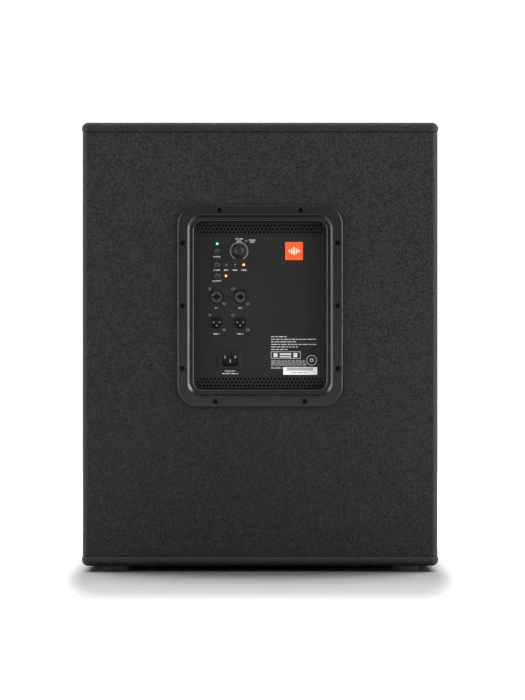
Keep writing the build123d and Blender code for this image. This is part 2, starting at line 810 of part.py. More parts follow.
# Panel: a steel plate behind the tray, with two perforated bands and all control openings
jack_screw_spots = [
    (x + sign * jack_screw_offset[0], z - sign * jack_screw_offset[1])
    for x, z in combo_spots + xlr_spots
    for sign in (-1, 1)
]
jack_screw_r = 1.5
light_r = 1.5
bushing_r = 3.5
iec_body = (27, 19.5)
with BuildPart() as amp_panel:
    with BuildSketch(rear_plane(panel_back, amp_z)):
        RectangleRounded(tub_w, tub_h, tub_r)
        for height, count in vent_rows:
            with Locations((0, height + window_rise), (0, window_rise - height)):
                with GridLocations(vent_pitch, 1, count, 1):
                    Circle(vent_r, mode=Mode.SUBTRACT)
        with Locations(*combo_spots):
            Circle(combo_ring_r + 0.2, mode=Mode.SUBTRACT)
        with Locations(*xlr_spots):
            Circle(xlr_ring_r + 0.2, mode=Mode.SUBTRACT)
        with Locations(*jack_screw_spots):
            Circle(jack_screw_r + screw_gap, mode=Mode.SUBTRACT)
        with Locations(*housing_screw_spots):
            Circle(1.6, mode=Mode.SUBTRACT)
        with Locations(power_spot, crossover_spot, polarity_spot):
            Circle(button_hole_r, mode=Mode.SUBTRACT)
        with Locations(volume_spot):
            Circle(bushing_r + 0.1, mode=Mode.SUBTRACT)
        with Locations(*light_spots):
            Circle(light_r + 0.1, mode=Mode.SUBTRACT)
        with Locations(iec_spot):
            Rectangle(iec_body[0] + 0.4, iec_body[1] + 0.4, mode=Mode.SUBTRACT)
    extrude(amount=panel_t)
amp_panel.part.label = "amp_panel"
export_step(amp_panel.part, "parts/amp_panel.step")

# Airtight housing behind the panel
with BuildPart() as amp_rear_housing:
    with BuildSketch(front_plane(panel_back, amp_z)):
        RectangleRounded(tub_w, tub_h, tub_r)
    extrude(amount=housing_wall)
    with BuildSketch(front_plane(panel_back, amp_z)):
        RectangleRounded(housing_w, housing_h, 12)
    extrude(amount=housing_depth)
    with BuildSketch(front_plane(panel_back, amp_z)):
        RectangleRounded(housing_w - 2 * housing_wall, housing_h - 2 * housing_wall, 10.5)
    extrude(amount=housing_depth - housing_wall, mode=Mode.SUBTRACT)
    with BuildSketch(rear_plane(panel_back, amp_z)):
        with Locations(*housing_screw_spots):
            Circle(1.6)
    extrude(amount=-housing_wall, mode=Mode.SUBTRACT)
    with BuildSketch(front_plane(panel_back, amp_z - 65)):
        with Locations((-30, 0)):
            Circle(3.2)
    extrude(amount=housing_depth, mode=Mode.SUBTRACT)
amp_rear_housing.part.label = "amp_rear_housing"
export_step(amp_rear_housing.part, "parts/amp_rear_housing.step")

# Machine screws: two on each jack from outside, six on the housing from inside
with BuildPart() as panel_screws:
    jack_screw = pan_screw(2.6, 1.5, jack_screw_r, 8)
    with Locations(rear_plane(panel_face, amp_z)):
        with Locations(*jack_screw_spots):
            add(jack_screw)
    with Locations(front_plane(panel_back + housing_wall, amp_z)):
        with Locations(*housing_screw_spots):
            add(jack_screw)
panel_screws.part.label = "panel_screws"
export_step(panel_screws.part, "parts/panel_screws.step")

# Combination jacks: a ring socket round a core that also takes a 6.35 mm plug
with BuildPart() as combo_jacks:
    with BuildSketch(rear_plane(panel_back + jack_depth, amp_z)):
        with Locations(*combo_spots):
            Rectangle(jack_block, jack_block)
    extrude(amount=jack_depth)
    with BuildSketch(rear_plane(panel_back, amp_z)):
        with Locations(*combo_spots):
            Circle(combo_ring_r)
    extrude(amount=panel_t + ring_proud)
    with BuildSketch(rear_plane(panel_face - ring_proud, amp_z)):
        with Locations(*combo_spots):
            Circle(combo_bore_r)
            Circle(combo_core_r, mode=Mode.SUBTRACT)
    extrude(amount=-combo_socket_depth, mode=Mode.SUBTRACT)
    with BuildSketch(rear_plane(panel_face - ring_proud, amp_z)):
        with Locations(*combo_spots):
            Circle(combo_core_r + 0.5)
    extrude(amount=-2, mode=Mode.SUBTRACT)
    with BuildSketch(rear_plane(panel_face - ring_proud, amp_z)):
        with Locations(*combo_spots):
            Circle(plug_bore_r)
    extrude(amount=-plug_bore_depth, mode=Mode.SUBTRACT)
    with BuildSketch(rear_plane(panel_face - ring_proud, amp_z)):
        with Locations(*combo_spots):
            with PolarLocations(5.2, 3, 90):
                Circle(1.3)
    extrude(amount=-combo_socket_depth, mode=Mode.SUBTRACT)
    with BuildSketch(rear_plane(panel_back, amp_z)):
        with Locations(*jack_screw_spots):
            Circle(jack_screw_r + screw_gap)
    extrude(amount=-9, mode=Mode.SUBTRACT)
combo_jacks.part.label = "combo_jacks"
export_step(combo_jacks.part, "parts/combo_jacks.step")

# Male three-pin outputs: a smooth shell with the pins at its floor
pin_spots = [
    (x + dx, z + dz) for x, z in xlr_spots for dx, dz in ((-4.2, 0.6), (4.2, 0.6), (0, -4.0))
]
xlr_floor = panel_face - ring_proud + xlr_socket_depth
with BuildPart() as xlr_outputs:
    with BuildSketch(rear_plane(panel_back + jack_depth, amp_z)):
        with Locations(*xlr_spots):
            Rectangle(jack_block, jack_block)
    extrude(amount=jack_depth)
    with BuildSketch(rear_plane(panel_back, amp_z)):
        with Locations(*xlr_spots):
            Circle(xlr_ring_r)
    extrude(amount=panel_t + ring_proud)
    with BuildSketch(rear_plane(panel_face - ring_proud, amp_z)):
        with Locations(*xlr_spots):
            Circle(xlr_bore_r)
    extrude(amount=-xlr_socket_depth, mode=Mode.SUBTRACT)
    with BuildSketch(rear_plane(xlr_floor, amp_z)):
        with Locations(*pin_spots):
            Circle(pin_r)
    extrude(amount=-5, mode=Mode.SUBTRACT)
    with BuildSketch(rear_plane(panel_back, amp_z)):
        with Locations(*jack_screw_spots):
            Circle(jack_screw_r + screw_gap)
    extrude(amount=-9, mode=Mode.SUBTRACT)
xlr_outputs.part.label = "xlr_outputs"
export_step(xlr_outputs.part, "parts/xlr_outputs.step")

# Mains inlet: a flanged shell whose opening has its two lower corners cut off
iec_flange = (32, 24)
iec_open = (24, 16.5)
iec_cut = 4.5
iec_depth = 16
iec_pin = (2, 4)
iec_pins = [(iec_spot[0] + dx, iec_spot[1] + dz) for dx, dz in ((-7, 4.6), (7, 4.6), (0, -0.8))]
iec_face = panel_face - 2
iec_floor = iec_face + iec_depth
with BuildPart() as iec_inlet:
    with BuildSketch(rear_plane(panel_face, amp_z)):
        with Locations(iec_spot):
            RectangleRounded(*iec_flange, 2)
    extrude(amount=2)
    with BuildSketch(rear_plane(panel_face, amp_z)):
        with Locations(iec_spot):
            Rectangle(*iec_body)
    extrude(amount=-(panel_t + 22))
    with BuildSketch(rear_plane(iec_face, amp_z)) as opening:
        with Locations(iec_spot):
            Rectangle(*iec_open)
        chamfer(opening.vertices().group_by(Axis.Z)[0], iec_cut)
    extrude(amount=-iec_depth, mode=Mode.SUBTRACT)
    with BuildSketch(rear_plane(iec_floor, amp_z)):
        with Locations(*iec_pins):
            Rectangle(*iec_pin)
    extrude(amount=-4, mode=Mode.SUBTRACT)
iec_inlet.part.label = "iec_inlet"
export_step(iec_inlet.part, "parts/iec_inlet.step")

# Contact pins of the outputs and of the mains inlet
with BuildPart() as connector_pins:
    with BuildSketch(rear_plane(xlr_floor + 5, amp_z)):
        with Locations(*pin_spots):
            Circle(pin_r)
    extrude(amount=5 + xlr_socket_depth - 3)
    with BuildSketch(rear_plane(iec_floor + 4, amp_z)):
        with Locations(*iec_pins):
            Rectangle(*iec_pin)
    extrude(amount=4 + iec_depth - 3)
connector_pins.part.label = "connector_pins"
export_step(connector_pins.part, "parts/connector_pins.step")

# Three push buttons, each a round cap with a collar inside the panel and a stem
switch_front = input_board_y - 12
collar_y = panel_back + 3
for name, spot in (
    ("power", power_spot),
    ("crossover", crossover_spot),
    ("polarity", polarity_spot),
):
    with BuildPart() as button:
        with BuildSketch(rear_plane(collar_y, amp_z)):
            with Locations(spot):
                Circle(button_r)
        extrude(amount=collar_y - panel_face + button_proud)
        fillet(button.edges().group_by(Axis.Y)[0], 0.8)
        with BuildSketch(rear_plane(collar_y, amp_z)):
            with Locations(spot):
                Circle(button_r + 0.9)
        extrude(amount=2.7)
        with BuildSketch(rear_plane(collar_y, amp_z)):
            with Locations(spot):
                Circle(button_stem_r)
        extrude(amount=collar_y - switch_front - 4)
    button.part.label = f"{name}_button"
    export_step(button.part, f"parts/{name}_button.step")

# Switch bodies on the input board, bored for the button stems
with BuildPart() as button_switches:
    with BuildSketch(rear_plane(input_board_y, amp_z)):
        with Locations(power_spot, crossover_spot, polarity_spot):
            Rectangle(9, 9)
            Circle(button_stem_r + 0.3, mode=Mode.SUBTRACT)
    extrude(amount=input_board_y - switch_front)
button_switches.part.label = "button_switches"
export_step(button_switches.part, "parts/button_switches.step")

# Volume potentiometer: a body and threaded bushing that stay, a shaft that turns
pot_r = 8.5
pot_depth = 9
bushing_proud = 5
shaft_proud = 15
with BuildPart() as volume_pot:
    with BuildSketch(rear_plane(panel_back + pot_depth, amp_z)):
        with Locations(volume_spot):
            Circle(pot_r)
    extrude(amount=pot_depth)
    with BuildSketch(rear_plane(panel_back, amp_z)):
        with Locations(volume_spot):
            Circle(bushing_r)
    extrude(amount=panel_t + bushing_proud)
    with BuildSketch(rear_plane(panel_back + pot_depth - 1, amp_z)):
        with Locations(volume_spot):
            Circle(shaft_r + 0.05)
    extrude(amount=pot_depth + panel_t + bushing_proud, mode=Mode.SUBTRACT)
volume_pot.part.label = "volume_pot"
export_step(volume_pot.part, "parts/volume_pot.step")

with BuildPart() as volume_shaft:
    with BuildSketch(rear_plane(panel_back + pot_depth - 2, amp_z)):
        with Locations(volume_spot):
            Circle(shaft_r)
    extrude(amount=pot_depth - 2 + panel_t + shaft_proud - 2)
volume_shaft.part.label = "volume_shaft"
export_step(volume_shaft.part, "parts/volume_shaft.step")

# Knob: a tapered grip with a pointer groove, open behind for the bushing and the shaft
with BuildPart() as volume_knob:
    with BuildSketch(rear_plane(panel_face - knob_gap, amp_z)):
        with Locations(volume_spot):
            Circle(knob_r)
    extrude(amount=knob_h, taper=5)
    fillet(volume_knob.edges().group_by(Axis.Y)[0], 1)
    with BuildSketch(rear_plane(panel_face - knob_gap, amp_z)):
        with Locations(volume_spot):
            Circle(bushing_r + 1)
    extrude(amount=bushing_proud, mode=Mode.SUBTRACT)
    with BuildSketch(rear_plane(panel_face, amp_z)):
        with Locations(volume_spot):
            Circle(shaft_r)
    extrude(amount=shaft_proud - 2, mode=Mode.SUBTRACT)
    with BuildSketch(rear_plane(panel_face - knob_gap - knob_h, amp_z)):
        with Locations((volume_spot[0], volume_spot[1] + knob_r * 0.6)):
            Rectangle(1.2, knob_r * 0.7)
    extrude(amount=-0.8, mode=Mode.SUBTRACT)
volume_knob.part.label = "volume_knob"
export_step(volume_knob.part, "parts/volume_knob.step")

# Six light pipes, from the input board through the panel
with BuildPart() as indicator_lights:
    with BuildSketch(rear_plane(input_board_y, amp_z)):
        with Locations(*light_spots):
            Circle(light_r)
    extrude(amount=input_board_y - panel_face + 1)
    fillet(indicator_lights.edges().group_by(Axis.Y)[0], 0.9)
indicator_lights.part.label = "indicator_lights"
export_step(indicator_lights.part, "parts/indicator_lights.step")

# Badge plate and rating label on the panel
with BuildPart() as badge_plate:
    with BuildSketch(rear_plane(panel_face, amp_z)):
        with Locations(badge_spot):
            RectangleRounded(24.5, 25, 1.5)
    extrude(amount=1.2)
    chamfer(badge_plate.edges().group_by(Axis.Y)[0], 0.4)
badge_plate.part.label = "badge_plate"
export_step(badge_plate.part, "parts/badge_plate.step")

with BuildPart() as rating_label:
    with BuildSketch(rear_plane(panel_face, amp_z)):
        with Locations(label_spot):
            RectangleRounded(47, 10.6, 0.8)
    extrude(amount=label_t)
rating_label.part.label = "rating_label"
export_step(rating_label.part, "parts/rating_label.step")

# Input board behind the jacks and controls, and main board at the back of the housing
with BuildPart() as input_circuit_board:
    with BuildSketch(rear_plane(input_board_y + board_t, amp_z)):
        with Locations((-44, 26)):
            Rectangle(86, 140)
    extrude(amount=board_t)
input_circuit_board.part.label = "input_circuit_board"
export_step(input_circuit_board.part, "parts/input_circuit_board.step")

with BuildPart() as main_circuit_board:
    with BuildSketch(rear_plane(main_board_y + board_t, amp_z)):
        Rectangle(172, 216)
    extrude(amount=board_t)
main_circuit_board.part.label = "main_circuit_board"
export_step(main_circuit_board.part, "parts/main_circuit_board.step")

# Heatsink: a vertical aluminium section with its fins towards the right
sink_x = 18
sink_base = 6
sink_reach = 62
sink_h = 186
fin_t = 2.5
fin_count = 7
sink_low_y = panel_back + 8
sink_high_y = main_board_y - 4
fin_pitch = (sink_high_y - sink_low_y - fin_t) / (fin_count - 1)
with BuildPart() as amp_heatsink:
    with BuildSketch(Plane.XY.offset(amp_z - sink_h / 2)):
        with Locations((sink_x + sink_base / 2, (sink_low_y + sink_high_y) / 2)):
            Rectangle(sink_base, sink_high_y - sink_low_y)
        for fin in range(fin_count):
            with Locations((sink_x + sink_reach / 2, sink_low_y + fin_t / 2 + fin * fin_pitch)):
                Rectangle(sink_reach, fin_t)
    extrude(amount=sink_h)
amp_heatsink.part.label = "amp_heatsink"
export_step(amp_heatsink.part, "parts/amp_heatsink.step")

# Four power transistors clamped to the heatsink
with BuildPart() as power_transistors:
    with BuildSketch(Plane.YZ.offset(sink_x)):
        with Locations((main_board_y - 22, amp_z)):
            with GridLocations(1, 40, 1, 4):
                Rectangle(20, 16)
    extrude(amount=-5)
power_transistors.part.label = "power_transistors"
export_step(power_transistors.part, "parts/power_transistors.step")

# Mains transformer, reservoir capacitors and output inductors on the main board
with BuildPart() as power_transformer:
    with BuildSketch(rear_plane(main_board_y, amp_z)):
        with Locations((-48, -78)):
            Rectangle(62, 50)
    extrude(amount=38)
    with BuildSketch(rear_plane(main_board_y - 8, amp_z)):
        with Locations((-48, -78)):
            Rectangle(70, 34)
    extrude(amount=22)
power_transformer.part.label = "power_transformer"
export_step(power_transformer.part, "parts/power_transformer.step")

with BuildPart() as reservoir_capacitors:
    with BuildSketch(rear_plane(main_board_y, amp_z)):
        with Locations((-40, 10)):
            with GridLocations(36, 36, 2, 2):
                Circle(15)
    extrude(amount=40)
    fillet(reservoir_capacitors.edges().group_by(Axis.Y)[0], 1.5)
reservoir_capacitors.part.label = "reservoir_capacitors"
export_step(reservoir_capacitors.part, "parts/reservoir_capacitors.step")

with BuildPart() as output_inductors:
    with BuildSketch(rear_plane(main_board_y, amp_z)):
        with Locations((-62, 78), (-20, 78)):
            Circle(18)
            Circle(8, mode=Mode.SUBTRACT)
    extrude(amount=16)
output_inductors.part.label = "output_inductors"
export_step(output_inductors.part, "parts/output_inductors.step")

# Speaker cable, from the back of the housing through the brace window to the terminals
cable_r = 3
terminal_y = spider_y - 7
terminal_low = woofer_z - terminal_drop / 2 - 50 - 9 - 10
cable_route = [
    (30, main_board_y + board_t, amp_z - 65),
    (30, housing_back + 36, amp_z - 65),
    (26, -84, amp_z - 84),
    (20, -30, amp_z - 128),
    (12, 40, terminal_low - 66),
    (4, 96, terminal_low - 62),
    (0, terminal_y, terminal_low - 44),
    (0, terminal_y, terminal_low),
]


def bend_radii(route):
    """The largest arc that each corner of a route leaves room for, at 0.45 of its shorter run."""
    points = [Vector(*point) for point in route]
    radii = []
    for before, corner, after in zip(points, points[1:], points[2:]):
        turn = radians((corner - before).get_angle(after - corner))
        shorter = min((corner - before).length, (after - corner).length)
        radii.append(0.45 * shorter / tan(turn / 2))
    return radii


with BuildPart() as speaker_cable:
    with BuildLine() as cable_line:
        FilletPolyline(*cable_route, radius=bend_radii(cable_route))
    with BuildSketch(Plane(origin=cable_line.line @ 0, z_dir=cable_line.line % 0)):
        Circle(cable_r)
    sweep()
speaker_cable.part.label = "speaker_cable"
export_step(speaker_cable.part, "parts/speaker_cable.step")

print("cable radii", [round(radius) for radius in bend_radii(cable_route)])
print("cable volume", round(speaker_cable.part.volume))
cable_length = sum(edge.length for edge in cable_line.edges())
print("section times length", round(pi * cable_r**2 * cable_length))
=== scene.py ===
import json
import math
import random

import bmesh
import bpy
from mathutils import Matrix, Vector

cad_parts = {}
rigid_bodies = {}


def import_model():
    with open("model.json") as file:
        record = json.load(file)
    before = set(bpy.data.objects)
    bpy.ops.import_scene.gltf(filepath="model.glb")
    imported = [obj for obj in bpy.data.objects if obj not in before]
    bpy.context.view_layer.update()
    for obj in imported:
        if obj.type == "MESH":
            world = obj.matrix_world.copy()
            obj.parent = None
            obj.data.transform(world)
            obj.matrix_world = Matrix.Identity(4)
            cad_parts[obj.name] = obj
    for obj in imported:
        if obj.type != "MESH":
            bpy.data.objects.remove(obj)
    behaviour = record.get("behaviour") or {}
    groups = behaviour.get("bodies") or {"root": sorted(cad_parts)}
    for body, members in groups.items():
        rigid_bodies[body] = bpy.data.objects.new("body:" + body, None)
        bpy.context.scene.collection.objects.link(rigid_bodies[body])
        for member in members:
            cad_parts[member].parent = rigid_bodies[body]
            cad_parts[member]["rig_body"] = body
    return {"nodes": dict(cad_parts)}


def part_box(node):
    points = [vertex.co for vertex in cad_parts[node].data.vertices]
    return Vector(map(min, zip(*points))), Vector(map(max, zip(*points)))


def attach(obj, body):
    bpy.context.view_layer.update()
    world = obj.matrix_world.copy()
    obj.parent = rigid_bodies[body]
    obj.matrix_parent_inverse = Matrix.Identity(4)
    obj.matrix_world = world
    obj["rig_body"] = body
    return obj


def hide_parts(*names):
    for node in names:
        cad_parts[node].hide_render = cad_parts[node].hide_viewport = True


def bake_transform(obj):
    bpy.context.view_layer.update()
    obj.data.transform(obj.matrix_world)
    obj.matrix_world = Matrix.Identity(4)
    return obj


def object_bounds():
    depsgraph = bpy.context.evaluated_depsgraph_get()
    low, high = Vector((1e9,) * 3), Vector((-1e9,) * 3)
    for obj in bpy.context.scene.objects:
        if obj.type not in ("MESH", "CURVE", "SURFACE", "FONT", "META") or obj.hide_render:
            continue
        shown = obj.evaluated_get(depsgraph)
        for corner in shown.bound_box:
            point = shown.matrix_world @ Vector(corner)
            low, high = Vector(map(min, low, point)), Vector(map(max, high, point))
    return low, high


# A powered subwoofer, seen straight on from its connection panel. Metres, +Z up.
# The panel faces -Y, the grille faces +Y, and the cabinet stands on the floor at z = 0.

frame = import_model()
cad_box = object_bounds()
nodes = frame["nodes"]
MM = 0.001

# ---- Places read from the frame -----------------------------------------------------------

FRAME_LOW, FRAME_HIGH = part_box("amp_frame")
PANEL_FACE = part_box("amp_panel")[0].y
FRAME_FACE = FRAME_LOW.y
AMP_Z = (FRAME_LOW.z + FRAME_HIGH.z) / 2
GRILLE_LOW, GRILLE_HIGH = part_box("front_grille")


def node_centres(node):
    """The middle of each separate solid of a CAD node, from its mesh."""
    bm = bmesh.new()
    bm.from_mesh(nodes[node].data)
    bmesh.ops.remove_doubles(bm, verts=bm.verts, dist=1e-6)
    centres = []
    left = set(bm.verts)
    while left:
        island = {left.pop()}
        edge_front = list(island)
        while edge_front:
            vert = edge_front.pop()
            for edge in vert.link_edges:
                other = edge.other_vert(vert)
                if other in left:
                    left.discard(other)
                    island.add(other)
                    edge_front.append(other)
        low = Vector([min(v.co[i] for v in island) for i in range(3)])
        high = Vector([max(v.co[i] for v in island) for i in range(3)])
        centres.append((low + high) / 2)
    bm.free()
    return centres


# ---- Materials ----------------------------------------------------------------------------

NOISE_LOW = 0.3
NOISE_HIGH = 0.7


def surface(
    name,
    dark,
    light,
    rough=(0.4, 0.6),
    grain=0.002,
    bump=0.2,
    depth=0.0003,
    metallic=0.0,
    specular=0.5,
    cloud=0.0,
    cloud_size=0.12,
    sheen=0.0,
    coat=0.0,
):
    """A grained finish: fine noise shifts its colour, gloss and relief, broad noise its tone."""
    material = bpy.data.materials.new(name)
    material.use_nodes = True
    tree = material.node_tree
    link = tree.links.new
    shader = tree.nodes["Principled BSDF"]
    shader.inputs["Metallic"].default_value = metallic
    shader.inputs["Specular IOR Level"].default_value = specular
    shader.inputs["Sheen Weight"].default_value = sheen
    shader.inputs["Coat Weight"].default_value = coat
    place = tree.nodes.new("ShaderNodeTexCoord")
    fine = tree.nodes.new("ShaderNodeTexNoise")
    fine.inputs["Scale"].default_value = 1 / grain
    fine.inputs["Detail"].default_value = 4
    link(place.outputs["Object"], fine.inputs["Vector"])
    broad = tree.nodes.new("ShaderNodeTexNoise")
    broad.inputs["Scale"].default_value = 1 / cloud_size
    broad.inputs["Detail"].default_value = 3
    link(place.outputs["Object"], broad.inputs["Vector"])
    tone = tree.nodes.new("ShaderNodeMix")
    tone.data_type = "FLOAT"
    tone.inputs["Factor"].default_value = cloud
    link(fine.outputs["Fac"], tone.inputs[2])
    link(broad.outputs["Fac"], tone.inputs[3])
    ramp = tree.nodes.new("ShaderNodeValToRGB")
    ramp.color_ramp.elements[0].position = NOISE_LOW
    ramp.color_ramp.elements[1].position = NOISE_HIGH
    ramp.color_ramp.elements[0].color = (*dark, 1)
    ramp.color_ramp.elements[1].color = (*light, 1)
    link(tone.outputs[0], ramp.inputs["Fac"])
    link(ramp.outputs["Color"], shader.inputs["Base Color"])
    gloss = tree.nodes.new("ShaderNodeMapRange")
    gloss.inputs["From Min"].default_value = NOISE_LOW
    gloss.inputs["From Max"].default_value = NOISE_HIGH
    gloss.inputs["To Min"].default_value = rough[0]
    gloss.inputs["To Max"].default_value = rough[1]
    link(fine.outputs["Fac"], gloss.inputs["Value"])
    link(gloss.outputs["Result"], shader.inputs["Roughness"])
    if bump:
        relief = tree.nodes.new("ShaderNodeBump")
        relief.inputs["Strength"].default_value = bump
        relief.inputs["Distance"].default_value = depth
        link(fine.outputs["Fac"], relief.inputs["Height"])
        link(relief.outputs["Normal"], shader.inputs["Normal"])
    return material


def grey(level):
    """A neutral colour."""
    return (level, level, level)


def plywood():
    """Bare plywood: long grain bands along Z with fine fibres."""
    material = surface("plywood", (0.42, 0.28, 0.15), (0.60, 0.43, 0.26), (0.55, 0.75), 0.004)
    tree = material.node_tree
    wave = tree.nodes.new("ShaderNodeTexWave")
    wave.inputs["Scale"].default_value = 14
    wave.inputs["Distortion"].default_value = 6
    wave.inputs["Detail"].default_value = 3
    place = next(n for n in tree.nodes if n.type == "TEX_COORD")
    ramp = next(n for n in tree.nodes if n.type == "VALTORGB")
    tree.links.new(place.outputs["Object"], wave.inputs["Vector"])
    tree.links.new(wave.outputs["Fac"], ramp.inputs["Fac"])
    return material


def lamp(name, colour, strength):
    """A lit indicator lens: a faintly grained dome with an even glow. Also used for the flat rings
    of painted glow round the lit lenses.
    """
    material = surface(name, [c * 0.7 for c in colour], colour, (0.12, 0.22), 0.0010, 0.05, 0.0001)
    shader = material.node_tree.nodes["Principled BSDF"]
    shader.inputs["Emission Color"].default_value = (*colour, 1)
    shader.inputs["Emission Strength"].default_value = strength
    return material


COAT = surface(
    "cabinet_coat", (0.0012, 0.0010, 0.0012), (0.0185, 0.0176, 0.0188), (0.46, 0.78), 0.0026, 0.8,
    0.0009, specular=0.195, cloud=0.08, cloud_size=0.3,
)
MOULDED = surface(
    "moulded_black", grey(0.0025), grey(0.0045), (0.26, 0.34), 0.0011, 0.10, 0.0002,
    specular=0.62, cloud=0.2,
)
PANEL = surface(
    "panel_paint", (0.0063, 0.0061, 0.0063), (0.0092, 0.0091, 0.0092), (0.42, 0.52), 0.0009, 0.16,
    0.0001, specular=0.26, cloud=0.25,
)
PRINT = surface("white_print", grey(0.40), grey(0.54), (0.55, 0.65), 0.0004, 0.0)
FINE_PRINT = surface("fine_print", grey(0.16), grey(0.30), (0.55, 0.65), 0.0004, 0.0)
SCALE_PRINT = surface("scale_print", grey(0.08), grey(0.14), (0.5, 0.6), 0.0008, 0.0)
ORANGE = surface(
    "badge_orange", (0.86, 0.078, 0.016), (0.96, 0.100, 0.022), (0.28, 0.36), 0.0012, 0.05,
    0.0001, coat=0.2,
)
BADGE_MARK = surface("badge_mark", (0.95, 0.55, 0.38), (1.0, 0.66, 0.48), (0.35, 0.45), 0.001, 0.0)
WHITE_FILM = surface("label_film", grey(0.62), grey(0.72), (0.35, 0.5), 0.0015, 0.03, 0.0001)
BLACK_SCREW = surface(
    "black_screw", grey(0.020), grey(0.040), (0.28, 0.42), 0.0008, 0.2, 0.0001, metallic=0.6
)
WORN_SCREW = surface(
    "worn_screw", grey(0.06), grey(0.17), (0.30, 0.45), 0.0008, 0.2, 0.0001, metallic=0.9
)
# The frame's black screw heads, darker and less shiny than the other black screws: their own black
# plus painted shade of the wells they sit in
SHADED_WELL_SCREW = surface(
    "shaded_well_screw", grey(0.001), grey(0.004), (0.30, 0.42), 0.0008, 0.2, 0.0001, specular=0.08
)
CONNECTOR = surface(
    "connector_black", grey(0.003), grey(0.006), (0.22, 0.34), 0.0007, 0.08, 0.0001
)
CONNECTOR_CORE = surface(
    "connector_core", grey(0.016), grey(0.030), (0.22, 0.34), 0.0010, 0.12, 0.0001
)
CONTACT = surface(
    "plated_contact", (0.50, 0.46, 0.36), (0.62, 0.58, 0.47), (0.24, 0.36), 0.0010, 0.08,
    0.0001, metallic=1.0,
)
BUTTON = surface("button_black", grey(0.015), grey(0.024), (0.26, 0.38), 0.0008, 0.12, 0.0001)
KNOB = surface(
    "knob_black", grey(0.006), grey(0.010), (0.34, 0.48), 0.0010, 0.14, 0.0001, specular=0.32
)
# Flat black with no reflection: painted shade for the sheet behind the vent holes
VENT_SHADE = surface(
    "painted_vent_shade", grey(0.0005), grey(0.0015), (0.9, 1.0), 0.0010, 0.3, 0.0002, specular=0.0
)
KNOB_WELL = surface("knob_well", grey(0.004), grey(0.007), (0.5, 0.6), 0.0010, 0.1, 0.0001)
DULL_LENS = surface("dull_lens", grey(0.06), grey(0.12), (0.14, 0.24), 0.0010, 0.05, 0.0001)
GREEN_LAMP = lamp("green_lamp", (0.12, 0.90, 0.32), 1.6)
AMBER_LAMP = lamp("amber_lamp", (1.0, 0.52, 0.04), 1.4)
# Flat rings that glow faintly round the lit lenses: painted light spilled on the panel, not lamps
GREEN_PAINTED_GLOW = lamp("green_painted_glow", (0.0, 0.10, 0.02), 0.5)
AMBER_PAINTED_GLOW = lamp("amber_painted_glow", (0.16, 0.035, 0.0), 0.5)
RUBBER = surface("foot_rubber", grey(0.006), grey(0.012), (0.65, 0.85), 0.0016, 0.4, 0.0003)
GRILLE = surface(
    "grille_paint", grey(0.012), grey(0.020), (0.35, 0.5), 0.0012, 0.25, 0.0002, metallic=0.2
)
FOAM = surface("black_foam", grey(0.003), grey(0.010), (0.9, 1.0), 0.0016, 1.0, 0.001, sheen=0.2)
FELT = surface("grey_felt", grey(0.10), grey(0.24), (0.9, 1.0), 0.003, 1.0, 0.002, sheen=0.4)
ZINC = surface(
    "zinc_steel", (0.42, 0.42, 0.40), (0.62, 0.62, 0.60), (0.26, 0.44), 0.004, 0.12, 0.0002,
    metallic=1.0,
)
CAST = surface("cast_basket", grey(0.02), grey(0.04), (0.4, 0.6), 0.002, 0.5, 0.0004, metallic=0.3)
ALUMINIUM = surface(
    "sink_aluminium", grey(0.55), grey(0.72), (0.28, 0.42), 0.003, 0.1, 0.0002, metallic=1.0
)
PAPER = surface("paper_cone", grey(0.010), grey(0.024), (0.7, 0.9), 0.0025, 0.7, 0.0005)
CLOTH = surface("surround_cloth", grey(0.012), grey(0.030), (0.6, 0.8), 0.0012, 0.6, 0.0004)
SPIDER = surface("spider_cloth", (0.30, 0.17, 0.06), (0.52, 0.33, 0.14), (0.7, 0.9), 0.0012, 0.7)
COPPER = surface(
    "copper_wire", (0.55, 0.20, 0.08), (0.80, 0.36, 0.18), (0.2, 0.35), 0.0006, 0.4, metallic=1.0
)
FORMER = surface("coil_former", (0.60, 0.50, 0.28), (0.78, 0.68, 0.44), (0.4, 0.55), 0.0015)
FERRITE = surface("ferrite", grey(0.03), grey(0.06), (0.5, 0.7), 0.003, 0.4, 0.0004)
BOARD = surface("board_green", (0.01, 0.07, 0.02), (0.02, 0.13, 0.04), (0.25, 0.45), 0.006, 0.1)
TAPE = surface("transformer_tape", (0.50, 0.38, 0.04), (0.72, 0.58, 0.10), (0.25, 0.4), 0.005)
SLEEVE = surface("capacitor_sleeve", (0.01, 0.02, 0.06), (0.02, 0.04, 0.12), (0.2, 0.3), 0.003)
TOROID = surface("toroid", (0.10, 0.16, 0.08), (0.20, 0.28, 0.14), (0.4, 0.6), 0.002, 0.4)
WOOD = plywood()

FINISH = {
    COAT: "left_side_board right_side_board top_board bottom_board rear_board front_baffle "
    "top_cap bottom_cap",
    MOULDED: "amp_frame left_handle right_handle port_tubes woofer_terminals",
    PANEL: "amp_panel",
    ORANGE: "badge_plate",
    WHITE_FILM: "rating_label",
    BLACK_SCREW: "countersunk_screws grille_screws woofer_screws",
    WORN_SCREW: "panel_screws",
    SHADED_WELL_SCREW: "amp_frame_screws",
    CONNECTOR: "combo_jacks xlr_outputs iec_inlet button_switches power_transistors",
    CONTACT: "connector_pins",
    BUTTON: "power_button crossover_button polarity_button",
    KNOB: "volume_knob",
    DULL_LENS: "indicator_lights",
    RUBBER: "rubber_feet speaker_cable",
    GRILLE: "front_grille",
    FOAM: "grille_foam amp_frame_gasket woofer_gasket",
    FELT: "damping_pads",
    ZINC: "pole_socket volume_pot volume_shaft woofer_front_plate woofer_yoke amp_rear_housing",
    CAST: "woofer_basket",
    ALUMINIUM: "amp_heatsink",
    PAPER: "woofer_cone woofer_dust_cap",
    CLOTH: "woofer_surround",
    SPIDER: "woofer_spider",
    COPPER: "voice_coil",
    FORMER: "voice_coil_former",
    FERRITE: "woofer_magnet",
    BOARD: "main_circuit_board input_circuit_board",
    TAPE: "power_transformer",
    SLEEVE: "reservoir_capacitors",
    TOROID: "output_inductors",
    WOOD: "internal_brace",
}


